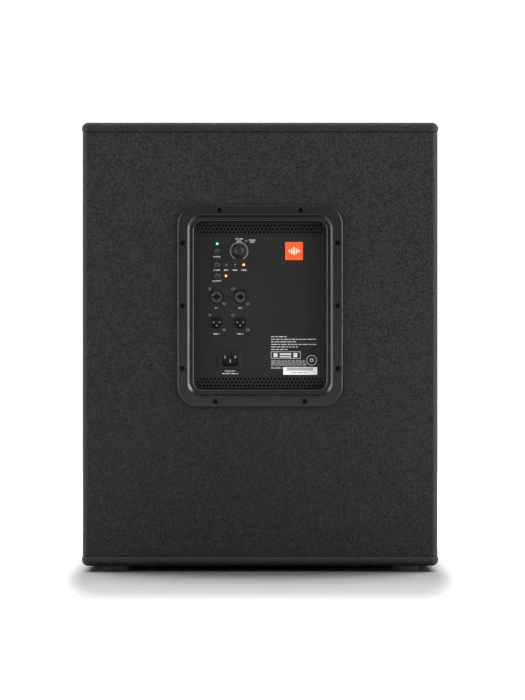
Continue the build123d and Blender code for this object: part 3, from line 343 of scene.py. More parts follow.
def paint(piece, material):
    """Give a CAD node's object slots one material, or a new piece its only material."""
    if not piece.material_slots:
        piece.data.materials.append(material)
    for holder in piece.material_slots:
        holder.link = "OBJECT"
        holder.material = material


for finish, names in FINISH.items():
    for name in names.split():
        paint(nodes[name], finish)

# ---- Mesh helpers -------------------------------------------------------------------------


def add_piece(name, mesh, material, body="cabinet", stands_for=(), sharp=35):
    """Put a mesh in the scene as a named piece that rides on a body."""
    mesh.validate()
    for polygon in mesh.polygons:
        polygon.use_smooth = True
    mesh.set_sharp_from_angle(angle=math.radians(sharp))
    mesh.materials.clear()
    mesh.materials.append(material)
    piece = bpy.data.objects.new(name, mesh)
    bpy.context.scene.collection.objects.link(piece)
    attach(piece, body)
    if stands_for:
        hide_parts(*stands_for)
    return piece


def mesh_from(name, verts, faces):
    """A mesh with its doubled points merged and its faces turned outwards."""
    mesh = bpy.data.meshes.new(name)
    mesh.from_pydata(verts, [], faces)
    bm = bmesh.new()
    bm.from_mesh(mesh)
    bmesh.ops.remove_doubles(bm, verts=bm.verts, dist=1e-7)
    bmesh.ops.dissolve_degenerate(bm, edges=bm.edges, dist=1e-8)
    bmesh.ops.recalc_face_normals(bm, faces=bm.faces)
    bm.to_mesh(mesh)
    bm.free()
    return mesh


def bridged(name, loops, close=False):
    """A mesh of quads between successive loops of points, with an optional return to the first."""
    count = len(loops[0])
    verts = [point for loop in loops for point in loop]
    pairs = [(i, i + 1) for i in range(len(loops) - 1)]
    if close:
        pairs.append((len(loops) - 1, 0))
    faces = []
    for a, b in pairs:
        for i in range(count):
            j = (i + 1) % count
            faces.append((a * count + i, a * count + j, b * count + j, b * count + i))
    return mesh_from(name, verts, faces)


def on_panel(x, z, height=0.0):
    """A point by its millimetres from the panel's middle and its height above the panel face."""
    return Vector((x * MM, PANEL_FACE - height * MM, AMP_Z + z * MM))


def around(spot, reach, angle, height):
    """A point at a distance and an angle from a spot on the panel, at a height above it."""
    return on_panel(spot[0] + reach * math.cos(angle), spot[1] + reach * math.sin(angle), height)


FLUTED_FROM_R = 6


def turned(name, profile, spot, segments=64, flutes=0, flute_depth=0.0, flute_span=(0, 0)):
    """A turned piece on the panel: profile pairs are radius and height in millimetres."""
    loops = []
    for radius, height in profile:
        loop = []
        for i in range(segments):
            angle = 2 * math.pi * i / segments
            reach = radius
            if flutes and flute_span[0] <= height <= flute_span[1] and radius > FLUTED_FROM_R:
                reach -= flute_depth * (0.5 - 0.5 * math.cos(flutes * angle)) ** 2
            loop.append(around(spot, reach, angle, height))
        loops.append(loop)
    return bridged(name, loops, close=True)


def arc_points(corner, before, after, radius, steps):
    """Points of a round of the given radius between two straight runs that meet at corner."""
    a = (before - corner).normalized()
    b = (after - corner).normalized()
    half = a.angle(b) / 2
    reach = radius / math.tan(half)
    centre = corner + (a + b).normalized() * (radius / math.sin(half))
    start = corner + a * reach - centre
    end = corner + b * reach - centre
    return [centre + start.slerp(end, i / steps) for i in range(steps + 1)]


def rounded_profile(corners, steps=6):
    """A profile in two dimensions: corners are x, y and the radius of the round there."""
    points = []
    for i, (x, y, radius) in enumerate(corners):
        here = Vector((x, y))
        if radius == 0:
            points.append(here)
            continue
        before = Vector(corners[i - 1][:2])
        after = Vector(corners[(i + 1) % len(corners)][:2])
        points += arc_points(here, before, after, radius, steps)
    return points


def rounded_rect(half_w, half_h, radius, steps=14):
    """Points of a rounded rectangle round the origin, anticlockwise."""
    points = []
    for quarter, (sx, sz) in enumerate(((1, 1), (-1, 1), (-1, -1), (1, -1))):
        for i in range(steps + 1):
            angle = math.pi / 2 * (quarter + i / steps)
            x = sx * (half_w - radius) + radius * math.cos(angle)
            z = sz * (half_h - radius) + radius * math.sin(angle)
            points.append((x, z))
    return points


def softened(node, width, material, angle=35):
    """A copy of a CAD node with its sharp edges rounded by width millimetres, in its place."""
    mesh = nodes[node].data.copy()
    for name in ("custom_normal", "sharp_face", "sharp_edge"):
        if name in mesh.attributes:
            mesh.attributes.remove(mesh.attributes[name])
    bm = bmesh.new()
    bm.from_mesh(mesh)
    bmesh.ops.remove_doubles(bm, verts=bm.verts, dist=1e-6)
    bmesh.ops.dissolve_limit(
        bm, angle_limit=math.radians(0.4), verts=bm.verts, edges=bm.edges
    )
    bm.to_mesh(mesh)
    bm.free()
    body = nodes[node]["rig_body"]
    piece = add_piece(f"{node}_rounded", mesh, material, body, (node,), sharp=180)
    rounding = piece.modifiers.new("rounding", "BEVEL")
    rounding.width = width * MM
    rounding.segments = 3
    rounding.limit_method = "ANGLE"
    rounding.angle_limit = math.radians(angle)
    rounding.harden_normals = True
    rounding.use_clamp_overlap = True
    return piece


def box_faces(low, high):
    """The corner points and faces of a plain bar between two corners."""
    verts = [
        Vector((x, y, z))
        for x in (low.x, high.x)
        for y in (low.y, high.y)
        for z in (low.z, high.z)
    ]
    faces = [(0, 1, 3, 2), (4, 6, 7, 5), (0, 4, 5, 1), (2, 3, 7, 6), (0, 2, 6, 4), (1, 5, 7, 3)]
    return verts, faces


PRINT_RISE = 0.06


def bars(name, spans, thickness=PRINT_RISE, base=0.0):
    """Thin printed bars on the panel: spans are x from, x to, z from and z to, in millimetres."""
    verts = []
    faces = []
    for x0, x1, z0, z1 in spans:
        low = on_panel(x0, z0, base + thickness)
        high = on_panel(x1, z1, base)
        corners, sides = box_faces(low, high)
        faces += [tuple(i + len(verts) for i in side) for side in sides]
        verts += corners
    return mesh_from(name, verts, faces)


# ---- Camera, floor and light --------------------------------------------------------------

CAMERA_DISTANCE = 4.0
VIEW_HEIGHT = 0.965
VIEW_DEPTH = 0.004
SENSOR = 36
VIEW_X = 0.0033
VIEW_Z = 0.306

scene = bpy.context.scene
scene.view_settings.view_transform = "Standard"

camera = bpy.data.objects.new("camera", bpy.data.cameras.new("camera"))
scene.collection.objects.link(camera)
camera.location = (VIEW_X, FRAME_FACE - CAMERA_DISTANCE, VIEW_Z)
camera.rotation_euler = (math.pi / 2, 0, 0)
camera.data.sensor_width = SENSOR
camera.data.lens = SENSOR * (CAMERA_DISTANCE + VIEW_DEPTH) / VIEW_HEIGHT
camera.data.clip_end = 100
scene.camera = camera

world = bpy.data.worlds.new("studio")
scene.world = world
world.use_nodes = True
FILL_LEVEL = 0.15
BACKDROP_LEVEL = 1.1
sky = world.node_tree.nodes["Background"]
sky.inputs["Color"].default_value = (1, 1, 1, 1)
sky.inputs["Strength"].default_value = FILL_LEVEL
backdrop = world.node_tree.nodes.new("ShaderNodeBackground")
backdrop.inputs["Color"].default_value = (1, 1, 1, 1)
backdrop.inputs["Strength"].default_value = BACKDROP_LEVEL
seen = world.node_tree.nodes.new("ShaderNodeLightPath")
blend = world.node_tree.nodes.new("ShaderNodeMixShader")
wires = world.node_tree.links
wires.new(seen.outputs["Is Camera Ray"], blend.inputs[0])
wires.new(sky.outputs[0], blend.inputs[1])
wires.new(backdrop.outputs[0], blend.inputs[2])
wires.new(blend.outputs[0], world.node_tree.nodes["World Output"].inputs["Surface"])

FLOOR_SIZE = 6
floor_mesh = bpy.data.meshes.new("floor")
half = FLOOR_SIZE / 2
floor_mesh.from_pydata(
    [(-half, -half, 0), (half, -half, 0), (half, half, 0), (-half, half, 0)], [], [(0, 1, 2, 3)]
)
floor = bpy.data.objects.new("floor", floor_mesh)
scene.collection.objects.link(floor)
FLOOR = surface("floor_white", grey(0.90), grey(0.92), (0.8, 0.9), 0.05, 0.0, specular=0.1)
floor_mesh.materials.append(FLOOR)

# The floor glows softly away from the cabinet, so that only the shadow round it is seen
GLOW_START = 0.30
GLOW_END = 0.75
GLOW_LEVEL = 1.05
SIDE_SHRINK = 8
SIDE_START = 0.048
tree = FLOOR.node_tree
place = next(n for n in tree.nodes if n.type == "TEX_COORD")
steps = []
for operation, value in (
    ("ABSOLUTE", None),
    ("SUBTRACT", (cad_box[1].x - SIDE_START, cad_box[1].y, 0)),
    ("MAXIMUM", (0, 0, 0)),
    ("MULTIPLY", (SIDE_SHRINK, 1, 0)),
    ("LENGTH", None),
):
    step = tree.nodes.new("ShaderNodeVectorMath")
    step.operation = operation
    if value is not None:
        step.inputs[1].default_value = value
    steps.append(step)
tree.links.new(place.outputs["Object"], steps[0].inputs[0])
for before, after in zip(steps, steps[1:]):
    tree.links.new(before.outputs[0], after.inputs[0])
glow = tree.nodes.new("ShaderNodeMapRange")
glow.interpolation_type = "SMOOTHSTEP"
glow.inputs["From Min"].default_value = GLOW_START
glow.inputs["From Max"].default_value = GLOW_END
glow.inputs["To Max"].default_value = GLOW_LEVEL
tree.links.new(steps[-1].outputs["Value"], glow.inputs["Value"])
floor_shader = tree.nodes["Principled BSDF"]
floor_shader.inputs["Emission Color"].default_value = (1, 1, 1, 1)
tree.links.new(glow.outputs["Result"], floor_shader.inputs["Emission Strength"])

# The side lights leave the floor alone, so that they cast no long shadows on it
no_floor = bpy.data.collections.new("side_light_receivers")
no_floor.objects.link(floor)
no_floor.collection_objects[0].light_linking.link_state = "EXCLUDE"


def soft_light(name, place, target, width, height, power):
    """A rectangular soft light that points at a target."""
    data = bpy.data.lights.new(name, "AREA")
    data.shape = "RECTANGLE"
    data.size = width
    data.size_y = height
    data.energy = power
    light = bpy.data.objects.new(name, data)
    scene.collection.objects.link(light)
    light.location = place
    light.rotation_euler = (Vector(target) - Vector(place)).to_track_quat("-Z", "Y").to_euler()
    light.visible_camera = False
    return light


left_box = soft_light("left_box", (-2.3, -1.05, 0.8), (0, -0.7, 0.4), 1.7, 2.4, 105)
right_box = soft_light("right_box", (2.3, -1.05, 0.8), (0, -0.7, 0.4), 1.7, 2.4, 165)
for side_box in (left_box, right_box):
    side_box.light_linking.receiver_collection = no_floor
soft_light("top_box", (0, 0.8, 3.0), (0, 0.8, 0), 6.0, 1.7, 150)
upper_box = soft_light("upper_box", (0, -1.7, 2.7), (0, -0.3, 0.3), 2.6, 0.7, 26)
upper_box.light_linking.receiver_collection = no_floor

# A faint low light, for the bottom edge and the feet alone
low_box = soft_light("low_box", (0, -1.5, 0.05), (0, -0.28, 0.012), 2.4, 0.09, 7)
low_parts = bpy.data.collections.new("low_light_receivers")
for name in ("bottom_cap", "rubber_feet"):
    low_parts.objects.link(nodes[name])
low_box.light_linking.receiver_collection = low_parts

# ---- Amplifier frame ----------------------------------------------------------------------

FRAME_HALF_W = (FRAME_HIGH.x - FRAME_LOW.x) / 2 / MM
FRAME_HALF_H = (FRAME_HIGH.z - FRAME_LOW.z) / 2 / MM
FRAME_DEPTH = (FRAME_HIGH.y - FRAME_LOW.y) / MM
FLANGE = 3
LIP_INSET = 17.5
WINDOW_INSET = 23.2
WINDOW_RISE = 0.5
WINDOW_SHORT = 1.3
OUTER_R = 28
LIP_R = 17.0
WINDOW_R = 11


def frame_loop(inset, depth):
    """One loop of the frame's surface, at an inset from its outline and a depth behind its face."""
    if inset <= LIP_INSET:
        part = inset / LIP_INSET
        radius = OUTER_R + (LIP_R - OUTER_R) * part
        extra = 0.0
        rise = 0.0
    else:
        part = (inset - LIP_INSET) / (WINDOW_INSET - LIP_INSET)
        radius = LIP_R + (WINDOW_R - LIP_R) * part
        extra = WINDOW_SHORT * part
        rise = WINDOW_RISE * part
    outline = rounded_rect(FRAME_HALF_W - inset, FRAME_HALF_H - inset - extra, radius)
    return [
        Vector((x * MM, FRAME_FACE + depth * MM, AMP_Z + (z + rise) * MM)) for x, z in outline
    ]


# The points at 1.2 and 12.9 hold the flange flat between its rounded edges
frame_profile = rounded_profile(
    [
        (0, FLANGE, 0),
        (0, 0, 1.0),
        (1.2, 0, 0),
        (12.9, 0, 0),
        (15.0, 0, 3.0),
        (18.0, 5.6, 0.8),
        (19.6, 5.6, 0.7),
        (20.3, 3.6, 1.0),
        (22.0, 3.8, 1.3),
        (23.0, 13.0, 3.0),
        (WINDOW_INSET, FRAME_DEPTH - 0.4, 0),
        (WINDOW_INSET, FRAME_DEPTH, 0),
        (12, FRAME_DEPTH, 0),
        (12, FLANGE, 0),
    ]
)
frame_mesh = bridged("amp_frame_mesh", [frame_loop(p.x, p.y) for p in frame_profile], close=True)
screw_spots = [(c.x, c.z) for c in node_centres("amp_frame_screws")]
WELL_R = 3.75
WELL_DEPTH = 1.7
CUT_PAST = 2


def round_cutter(spots, radius, low_y, high_y, segments=32):
    """A mesh of separate closed round bars along Y, for cutting wells."""
    verts = []
    faces = []
    for x, z in spots:
        base = len(verts)
        for y in (low_y, high_y):
            for i in range(segments):
                angle = 2 * math.pi * i / segments
                verts.append((x + radius * math.cos(angle), y, z + radius * math.sin(angle)))
        faces.append(tuple(base + i for i in range(segments)))
        faces.append(tuple(base + segments + i for i in reversed(range(segments))))
        for i in range(segments):
            j = (i + 1) % segments
            faces.append((base + i, base + j, base + segments + j, base + segments + i))
    return mesh_from("cutter", verts, faces)


def cut(mesh, cutter_mesh):
    """The mesh with the cutter taken out of it."""
    block = bpy.data.objects.new("cut_block", mesh)
    cutter = bpy.data.objects.new("cut_tool", cutter_mesh)
    for thing in (block, cutter):
        scene.collection.objects.link(thing)
    knife = block.modifiers.new("cut", "BOOLEAN")
    knife.operation = "DIFFERENCE"
    knife.solver = "EXACT"
    knife.object = cutter
    bpy.context.view_layer.update()
    result = bpy.data.meshes.new_from_object(
        block.evaluated_get(bpy.context.evaluated_depsgraph_get())
    )
    for thing in (block, cutter):
        bpy.data.objects.remove(thing)
    return result


wells = round_cutter(
    screw_spots, WELL_R * MM, FRAME_FACE - CUT_PAST * MM, FRAME_FACE + WELL_DEPTH * MM
)
frame_piece = add_piece(
    "amp_frame_bezel", cut(frame_mesh, wells), MOULDED, "cabinet", ("amp_frame",), sharp=28
)

# ---- Volume control -----------------------------------------------------------------------

knob_mid = (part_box("volume_knob")[0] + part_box("volume_knob")[1]) / 2
VOLUME = (knob_mid.x / MM, (knob_mid.z - AMP_Z) / MM)
SHAFT_TIP = (PANEL_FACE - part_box("volume_shaft")[0].y) / MM
KNOB_PROFILE = [
    (4.6, 1.0), (9.3, 1.0), (9.5, 1.3), (9.5, 2.2), (9.3, 2.8), (9.0, 4.6), (8.6, 7.0),
    (8.1, 9.4), (7.5, 11.4), (6.8, 13.0), (6.0, 14.2), (5.1, 14.9), (4.2, 15.0), (3.5, 14.7),
    (3.2, 14.3), (3.1, SHAFT_TIP + 0.15), (0.0, SHAFT_TIP + 0.15), (0.0, SHAFT_TIP + 0.05),
    (4.6, SHAFT_TIP + 0.05),
]
knob = add_piece(
    "volume_knob_grip",
    turned("volume_knob_grip", KNOB_PROFILE, VOLUME, 144, 24, 0.45, (3.0, 12.4)),
    KNOB, "volume_control", ("volume_knob",), sharp=50,
)
well = add_piece(
    "volume_knob_well",
    turned(
        "volume_knob_well",
        [
            (0.0, SHAFT_TIP + 0.2), (3.05, SHAFT_TIP + 0.2), (3.05, SHAFT_TIP + 0.3),
            (0.0, SHAFT_TIP + 0.3),
        ],
        VOLUME, 48,
    ),
    KNOB_WELL, "volume_control",
)

ARC_INNER = 10.9
ARC_OUTER = 12.7
ARC_END = 152


def scale_arc(name, spot, inner, outer, end_angle, height, steps=96):
    """A printed arc round a knob, open at the bottom and a little heavier on its right side."""
    loops = []
    for i in range(steps + 1):
        turn = math.radians(-end_angle + 2 * end_angle * i / steps)
        heavy = outer + 0.25 * math.sin(max(turn, 0.0))
        ring = []
        for radius, lift in ((inner, 0), (inner, height), (heavy, height), (heavy, 0)):
            x = spot[0] + radius * math.sin(turn)
            z = spot[1] + radius * math.cos(turn)
            ring.append(on_panel(x, z, lift))
        loops.append(ring)
    verts = [point for ring in loops for point in ring]
    faces = [(0, 1, 2, 3), tuple(4 * steps + k for k in (3, 2, 1, 0))]
    for i in range(steps):
        for k in range(4):
            m = (k + 1) % 4
            faces.append((4 * i + k, 4 * i + m, 4 * i + 4 + m, 4 * i + 4 + k))
    return mesh_from(name, verts, faces)


arc = add_piece(
    "volume_scale", scale_arc("volume_scale", VOLUME, ARC_INNER, ARC_OUTER, ARC_END, PRINT_RISE),
    SCALE_PRINT,
)

# ---- Buttons ------------------------------------------------------------------------------

BUTTON_PROFILE = [
    (0.0, 2.55), (1.8, 2.62), (2.9, 2.85), (3.4, 3.0), (3.8, 2.9), (4.1, 2.55), (4.2, 2.0),
    (4.2, -4.2), (0.0, -4.2),
]
COLLAR_PROFILE = [
    (4.62, -0.4), (4.62, 0.35), (4.75, 0.6), (5.1, 0.72), (5.5, 0.6), (5.75, 0.25), (5.8, 0.0),
    (5.8, -0.05), (5.0, -0.4),
]
for control in ("power", "crossover", "polarity"):
    low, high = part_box(f"{control}_button")
    spot = ((low.x + high.x) / 2 / MM, ((low.z + high.z) / 2 - AMP_Z) / MM)
    cap = add_piece(
        f"{control}_button_cap",
        turned(f"{control}_button_cap", BUTTON_PROFILE, spot, 48),
        BUTTON, f"{control}_push", (f"{control}_button",), sharp=50,
    )
    collar = add_piece(
        f"{control}_button_collar",
        turned(f"{control}_button_collar", COLLAR_PROFILE, spot, 48),
        CONNECTOR, sharp=50,
    )

# ---- Indicator lights ---------------------------------------------------------------------

LENS_PROFILE = [
    (0.0, 1.25), (0.6, 1.2), (1.1, 0.95), (1.4, 0.5), (1.5, 0.0), (1.5, -3.0), (0.0, -3.0),
]
# The flat ring of painted glow that lies on the panel round a lit lens
PAINTED_GLOW_PROFILE = [(1.55, 0.02), (2.5, 0.02), (2.5, 0.05), (1.55, 0.05)]
lights = sorted(node_centres("indicator_lights"), key=lambda c: (-round(c.z, 3), c.x))
light_names = (
    ("signal_light", DULL_LENS, None),
    ("power_light", GREEN_LAMP, GREEN_PAINTED_GLOW),
    ("low_setting_light", DULL_LENS, None),
    ("middle_setting_light", DULL_LENS, None),
    ("high_setting_light", AMBER_LAMP, AMBER_PAINTED_GLOW),
    ("polarity_light", AMBER_LAMP, AMBER_PAINTED_GLOW),
)
for place, (name, finish, painted_glow) in zip(lights, light_names):
    spot = (place.x / MM, (place.z - AMP_Z) / MM)
    lens = add_piece(
        name, turned(name, LENS_PROFILE, spot, 32), finish, "cabinet", ("indicator_lights",), 60
    )
    # A lit lens gets a faintly glowing flat ring round it: painted glow on the panel
    if painted_glow:
        halo = add_piece(f"{name}_spill", turned(f"{name}_spill", PAINTED_GLOW_PROFILE, spot, 32), painted_glow)

# ---- Combination jacks --------------------------------------------------------------------

RING_PROFILE = [
    (9.8, -16.0), (9.8, 0.3), (10.0, 0.7), (10.4, 0.85), (10.8, 0.7), (11.0, 0.3), (11.0, -16.0),
]
CORE_R = 8.7
CORE_TOP = -0.9
SOCKET_FLOOR = -14.0
STAR_REACH = (5.8, 5.0)
STAR_POWER = 0.85
PLUG_R = 3.15


def star_radius(angle):
    """The concave four-pointed opening in a jack's core, wide enough for the plug's bore."""
    c = abs(math.cos(angle)) + 1e-6
    s = abs(math.sin(angle)) + 1e-6
    across = (c / STAR_REACH[0]) ** STAR_POWER
    up = (s / STAR_REACH[1]) ** STAR_POWER
    return max((across + up) ** (-1 / STAR_POWER), PLUG_R - 0.3)


def jack_core(name, spot, segments=96):
    """The disc in the middle of a combination jack, with its star-shaped opening."""
    loops = []
    for kind, scale, height in (
        ("round", CORE_R, -16.0),
        ("round", CORE_R, CORE_TOP - 0.9),
        ("round", CORE_R - 0.25, CORE_TOP - 0.3),
        ("round", CORE_R - 0.9, CORE_TOP),
        ("star", 1.12, CORE_TOP),
        ("star", 1.03, CORE_TOP - 0.15),
        ("star", 1.0, CORE_TOP - 0.6),
        ("star", 1.0, SOCKET_FLOOR),
        ("point", 0.0, SOCKET_FLOOR),
    ):
        loop = []
        for i in range(segments):
            angle = 2 * math.pi * i / segments
            reach = {"round": scale, "star": scale * star_radius(angle), "point": 0.0}[kind]
            loop.append(around(spot, reach, angle, height))
        loops.append(loop)
    return bridged(name, loops)


for index, place in enumerate(sorted(node_centres("combo_jacks"), key=lambda c: c.x)):
    spot = (place.x / MM, (place.z - AMP_Z) / MM)
    ring = add_piece(
        f"input_ring_{index + 1}",
        turned(f"input_ring_{index + 1}", RING_PROFILE, spot, 96),
        CONNECTOR, "cabinet", ("combo_jacks",), sharp=40,
    )
    core = add_piece(
        f"input_core_{index + 1}", jack_core(f"input_core_{index + 1}", spot),
        CONNECTOR_CORE, "cabinet", ("combo_jacks",), sharp=40,
    )
    key = add_piece(
        f"input_key_{index + 1}",
        bars(
            f"input_key_{index + 1}",
            [(spot[0] - 1.6, spot[0] + 1.6, spot[1] + 8.4, spot[1] + 9.9)],
            8.0,
            -8.6,
        ),
        CONNECTOR,
    )

# ---- Pieces with rounded edges ------------------------------------------------------------

for node, width, finish, slot in (
    ("left_handle", 1.2, MOULDED, "moulded_black"),
    ("right_handle", 1.2, MOULDED, "moulded_black"),
    ("iec_inlet", 0.35, CONNECTOR, "connector_black"),
    ("xlr_outputs", 0.25, CONNECTOR, "connector_black"),
    ("pole_socket", 0.6, ZINC, "zinc_steel"),
):
    softened(node, width, finish)

# ---- Printing on the panel ----------------------------------------------------------------


CAPITAL_PART = 0.70
STROKE_GROWTH = 0.05


def lettering(name, lines, thickness=0.05):
    """Raised print from the built-in font: lines are text, x, z and capital height."""
    combined = bmesh.new()
    upright = Matrix.Rotation(math.pi / 2, 4, "X")
    for text, x, z, height in lines:
        curve = bpy.data.curves.new("text", "FONT")
        curve.body = text
        curve.align_x = "CENTER"
        curve.align_y = "CENTER"
        curve.size = height / CAPITAL_PART * MM
        curve.offset = STROKE_GROWTH * MM
        curve.extrude = thickness / 2 * MM
        curve.resolution_u = 3
        holder = bpy.data.objects.new("text", curve)
        scene.collection.objects.link(holder)
        bpy.context.view_layer.update()
        mesh = bpy.data.meshes.new_from_object(
            holder.evaluated_get(bpy.context.evaluated_depsgraph_get())
        )
        mesh.transform(Matrix.Translation(on_panel(x, z, thickness / 2)) @ upright)
        combined.from_mesh(mesh)
        bpy.data.objects.remove(holder)
        bpy.data.meshes.remove(mesh)
    result = bpy.data.meshes.new(name)
    combined.to_mesh(result)
    combined.free()
    return result


LABEL_H = 1.9
SIGNAL_X = -10.6
BUTTON_X = -60
SETTING_Z = 49.5
INPUT_Z = -2.9
OUTPUT_Z = -38.8
words = add_piece(
    "panel_lettering",
    lettering(
        "panel_lettering",
        [
            ("VOLUME", VOLUME[0], 92.6, LABEL_H),
            ("LEVEL", VOLUME[0], 89.4, LABEL_H),
            ("SIGNAL", SIGNAL_X, 91.0, LABEL_H),
            ("LIMIT", SIGNAL_X, 88.2, LABEL_H),
            ("POWER", BUTTON_X, 68.0, LABEL_H),
            ("X-OVER", BUTTON_X, SETTING_Z, LABEL_H),
            ("80Hz", -47.3, SETTING_Z, LABEL_H),
            ("100Hz", -34.9, SETTING_Z, LABEL_H),
            ("120Hz", -22.6, SETTING_Z, LABEL_H),
            ("POLARITY", BUTTON_X, 34.4, LABEL_H),
            ("IN 1", -60.2, INPUT_Z, LABEL_H),
            ("IN 2", -27.4, INPUT_Z, LABEL_H),
            ("THRU 1", -60.3, OUTPUT_Z, LABEL_H),
            ("THRU 2", -27.5, OUTPUT_Z, LABEL_H),
            ("MAINS INPUT", -41.4, -90.2, LABEL_H * 0.9),
        ],
    ),
    PRINT,
)

random.seed(7)
WORD_GAP = 1.3
WORD_SHORTEST = 2.6
WORD_LONGEST = 8.5
LINE_END = 1.5


def word_bars(left, right, z, height):
    """A printed line as plain bars of uneven length, like words too small to read."""
    spans = []
    x = left
    while x < right - LINE_END:
        length = min(random.uniform(WORD_SHORTEST, WORD_LONGEST), right - x)
        spans.append((x, x + length, z - height / 2, z + height / 2))
        x += length + WORD_GAP
    return spans


BLOCK_LEFT = 15.2
BLOCK_TOP = -42.6
BLOCK_PITCH = 3.55
BLOCK_LINE_H = 0.95
block = []
for row, reach in enumerate((37, 77, 50, 78, 52, 38)):
    block += word_bars(BLOCK_LEFT, reach, BLOCK_TOP - BLOCK_PITCH * row, BLOCK_LINE_H)
block += word_bars(BLOCK_LEFT, 31, -85.9, BLOCK_LINE_H)
block += word_bars(-52.5, -30.5, -93.6, 1.1)
block_piece = add_piece("printed_lines", bars("printed_lines", block), PRINT)

BOX = (15.0, 56.0, -73.0, -63.2)
EDGE = 0.5
outline = [
    (BOX[0], BOX[1], BOX[3] - EDGE, BOX[3]),
    (BOX[0], BOX[1], BOX[2], BOX[2] + EDGE),
    (BOX[0], BOX[0] + EDGE, BOX[2], BOX[3]),
    (BOX[1] - EDGE, BOX[1], BOX[2], BOX[3]),
    (18.5, 24.0, -71.0, -65.2),
    (27.0, 43.0, -68.0, -65.6),
    (27.0, 43.0, -71.2, -69.4),
    (46.0, 51.5, -71.0, -65.2),
]
outline_piece = add_piece("plain_box", bars("plain_box", outline), PRINT)

FINE_ROWS = 6
FINE_RIGHT = 64.0
FINE_TOP = -75.6
FINE_PITCH = 1.42
FINE_LINE_H = 0.75
fine = []
for row in range(FINE_ROWS):
    fine += word_bars(BLOCK_LEFT, FINE_RIGHT, FINE_TOP - FINE_PITCH * row, FINE_LINE_H)
fine_piece = add_piece("fine_lines", bars("fine_lines", fine), FINE_PRINT)

MARK_SPOT = (71.3, -75.2)


def printed_ring(name, inner, outer, segments):
    """A thin printed ring on the panel."""
    profile = [(inner, 0.0), (inner, PRINT_RISE), (outer, PRINT_RISE), (outer, 0.0)]
    return add_piece(name, turned(name, profile, MARK_SPOT, segments), PRINT)


ring_mark = printed_ring("plain_ring", 6.5, 7.1, 64)
dot_mark = printed_ring("plain_dot", 1.6, 2.6, 48)

LABEL_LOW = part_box("rating_label")[0]
LABEL_BARS = 24
LABEL_PITCH = 1.52
LABEL_BAR_W = 0.9
label_lines = []
for i in range(LABEL_BARS):
    x = LABEL_LOW.x / MM + 5.0 + LABEL_PITCH * i
    label_lines.append((x, x + LABEL_BAR_W, -89.6, -85.4))
label_lines += word_bars(LABEL_LOW.x / MM + 11, LABEL_LOW.x / MM + 34, -92.2, 0.8)
LABEL_PRINT = surface("label_print", grey(0.05), grey(0.12), (0.5, 0.6), 0.0005, 0.0)
label_piece = add_piece("label_lines", bars("label_lines", label_lines, 0.04, 0.2), LABEL_PRINT)

# A flat black sheet behind both bands of holes: painted shade, so the holes look dark inside
vent_shade_piece = add_piece(
    "vent_shade_sheets",
    bars("vent_shade_sheets", [(-89, 89, 99.5, 114.5), (-89, 89, -113.5, -98.5)], 0.5, -6.5),
    VENT_SHADE,
)

# Badge: a plain plate with a level meter's bars
BADGE_LOW, BADGE_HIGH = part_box("badge_plate")
badge_x = (BADGE_LOW.x + BADGE_HIGH.x) / 2 / MM
badge_z = (BADGE_LOW.z + BADGE_HIGH.z) / 2 / MM - AMP_Z / MM
METER_LEFT = 7.4
METER_PITCH = 3.2
METER_BAR_W = 2.0
meter = []
for i, height in enumerate((3.5, 7.0, 10.5, 7.0, 3.5)):
    x = badge_x - METER_LEFT + METER_PITCH * i
    meter.append((x, x + METER_BAR_W, badge_z - height / 2, badge_z + height / 2))
badge_piece = add_piece("badge_bars", bars("badge_bars", meter, 0.25, 1.15), BADGE_MARK)

# ---- Front grille -------------------------------------------------------------------------

GRILLE_MID = (GRILLE_LOW + GRILLE_HIGH) / 2
GRILLE_HALF_W = (GRILLE_HIGH.x - GRILLE_LOW.x) / 2 / MM
GRILLE_HALF_H = (GRILLE_HIGH.z - GRILLE_LOW.z) / 2 / MM
GRILLE_DEEP = (GRILLE_HIGH.y - GRILLE_LOW.y) / MM
MARGIN = 20
SHEET = 1.5
HEX_PITCH = 8.0
HEX_HOLE = 0.80
MESH_LAP = 3
MESH_UNDER = 0.25
MESH_T = 1.0


def grille_loop(inset, depth, radius):
    """One loop of the grille's folded border."""
    outline = rounded_rect(GRILLE_HALF_W - inset, GRILLE_HALF_H - inset, radius, 6)
    return [
        Vector((x * MM, GRILLE_HIGH.y - depth * MM, GRILLE_MID.z + z * MM)) for x, z in outline
    ]


border = rounded_profile(
    [
        (0, GRILLE_DEEP, 0),
        (0, 0, 2.5),
        (MARGIN, 0, 0.4),
        (MARGIN, SHEET - 0.3, 0),
        (SHEET, SHEET - 0.3, 0),
        (SHEET, GRILLE_DEEP, 0),
    ],
    4,
)
border_mesh = bridged(
    "grille_border", [grille_loop(p.x, p.y, max(6 - p.x, 3)) for p in border], close=True
)
border_piece = add_piece(
    "grille_border", border_mesh, GRILLE, "cabinet", ("front_grille",), sharp=30
)


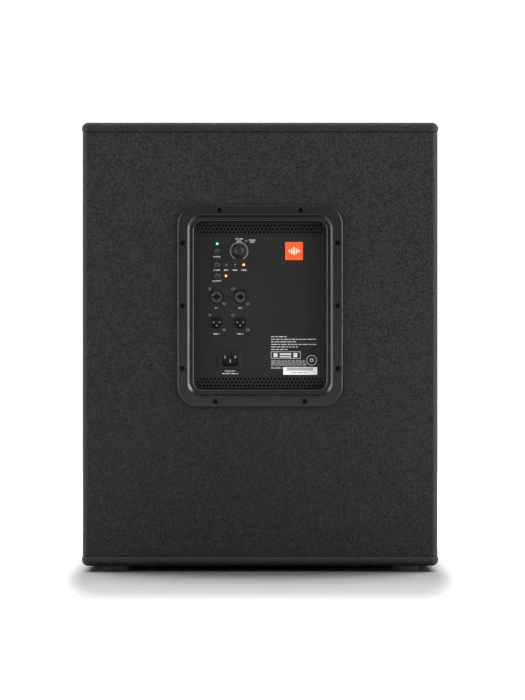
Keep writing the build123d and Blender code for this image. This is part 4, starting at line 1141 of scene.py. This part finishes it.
def honeycomb(name, half_w, half_h, y):
    """A flat sheet of hexagonal cells, each with a hexagonal hole."""
    reach = HEX_PITCH / math.sqrt(3)
    rows = int(half_h / (1.5 * reach))
    columns = int(half_w / HEX_PITCH)
    verts = []
    faces = []
    for row in range(-rows, rows + 1):
        shift = 0.5 * HEX_PITCH if row % 2 else 0.0
        for column in range(-columns, columns + 1 - (row % 2)):
            x = column * HEX_PITCH + shift
            z = row * 1.5 * reach
            base = len(verts)
            for size in (reach, reach * HEX_HOLE):
                for corner in range(6):
                    angle = math.radians(30 + 60 * corner)
                    verts.append(
                        (
                            (x + size * math.cos(angle)) * MM,
                            y,
                            GRILLE_MID.z + (z + size * math.sin(angle)) * MM,
                        )
                    )
            for i in range(6):
                j = (i + 1) % 6
                faces.append((base + i, base + j, base + 6 + j, base + 6 + i))
    mesh = bpy.data.meshes.new(name)
    mesh.from_pydata(verts, [], faces)
    bm = bmesh.new()
    bm.from_mesh(mesh)
    bmesh.ops.remove_doubles(bm, verts=bm.verts, dist=1e-6)
    bm.to_mesh(mesh)
    bm.free()
    return mesh


sheet = add_piece(
    "grille_sheet",
    honeycomb(
        "grille_sheet",
        GRILLE_HALF_W - MARGIN + MESH_LAP,
        GRILLE_HALF_H - MARGIN + MESH_LAP,
        GRILLE_HIGH.y - MESH_UNDER * MM,
    ),
    GRILLE, "cabinet", ("front_grille",), sharp=30,
)
thicken = sheet.modifiers.new("thickness", "SOLIDIFY")
thicken.thickness = MESH_T * MM
thicken.offset = 1.0

# ---- Woofer suspension --------------------------------------------------------------------

WOOFER_AXIS = (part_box("woofer_surround")[0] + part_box("woofer_surround")[1]) / 2
SECTORS = 24
SURROUND_SPAN = (177, 160.5)
SPIDER_SPAN = (101, 40)


def flexing_sectors(node, material, fixed_r, moving_r):
    """A ring cut in sectors, each a piece of its own that reaches from the basket to the cone."""
    whole = bmesh.new()
    whole.from_mesh(nodes[node].data)
    bmesh.ops.remove_doubles(whole, verts=whole.verts, dist=1e-6)
    wedge = 2 * math.pi / SECTORS
    for i in range(SECTORS):
        part = whole.copy()
        for angle, side in ((i * wedge, 1), ((i + 1) * wedge, -1)):
            bmesh.ops.bisect_plane(
                part,
                geom=part.verts[:] + part.edges[:] + part.faces[:],
                plane_co=WOOFER_AXIS,
                plane_no=Vector((-math.sin(angle), 0, math.cos(angle))) * side,
                clear_inner=True,
            )
        name = f"{node}_sector_{i + 1}"
        mesh = bpy.data.meshes.new(name)
        part.to_mesh(mesh)
        part.free()
        for polygon in mesh.polygons:
            polygon.use_smooth = True
        mesh.set_sharp_from_angle(angle=math.radians(40))
        mesh.materials.append(material)
        piece = bpy.data.objects.new(name, mesh)
        scene.collection.objects.link(piece)
        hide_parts(node)
        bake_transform(piece)
    whole.free()


flexing_sectors("woofer_surround", CLOTH, *SURROUND_SPAN)
flexing_sectors("woofer_spider", SPIDER, *SPIDER_SPAN)
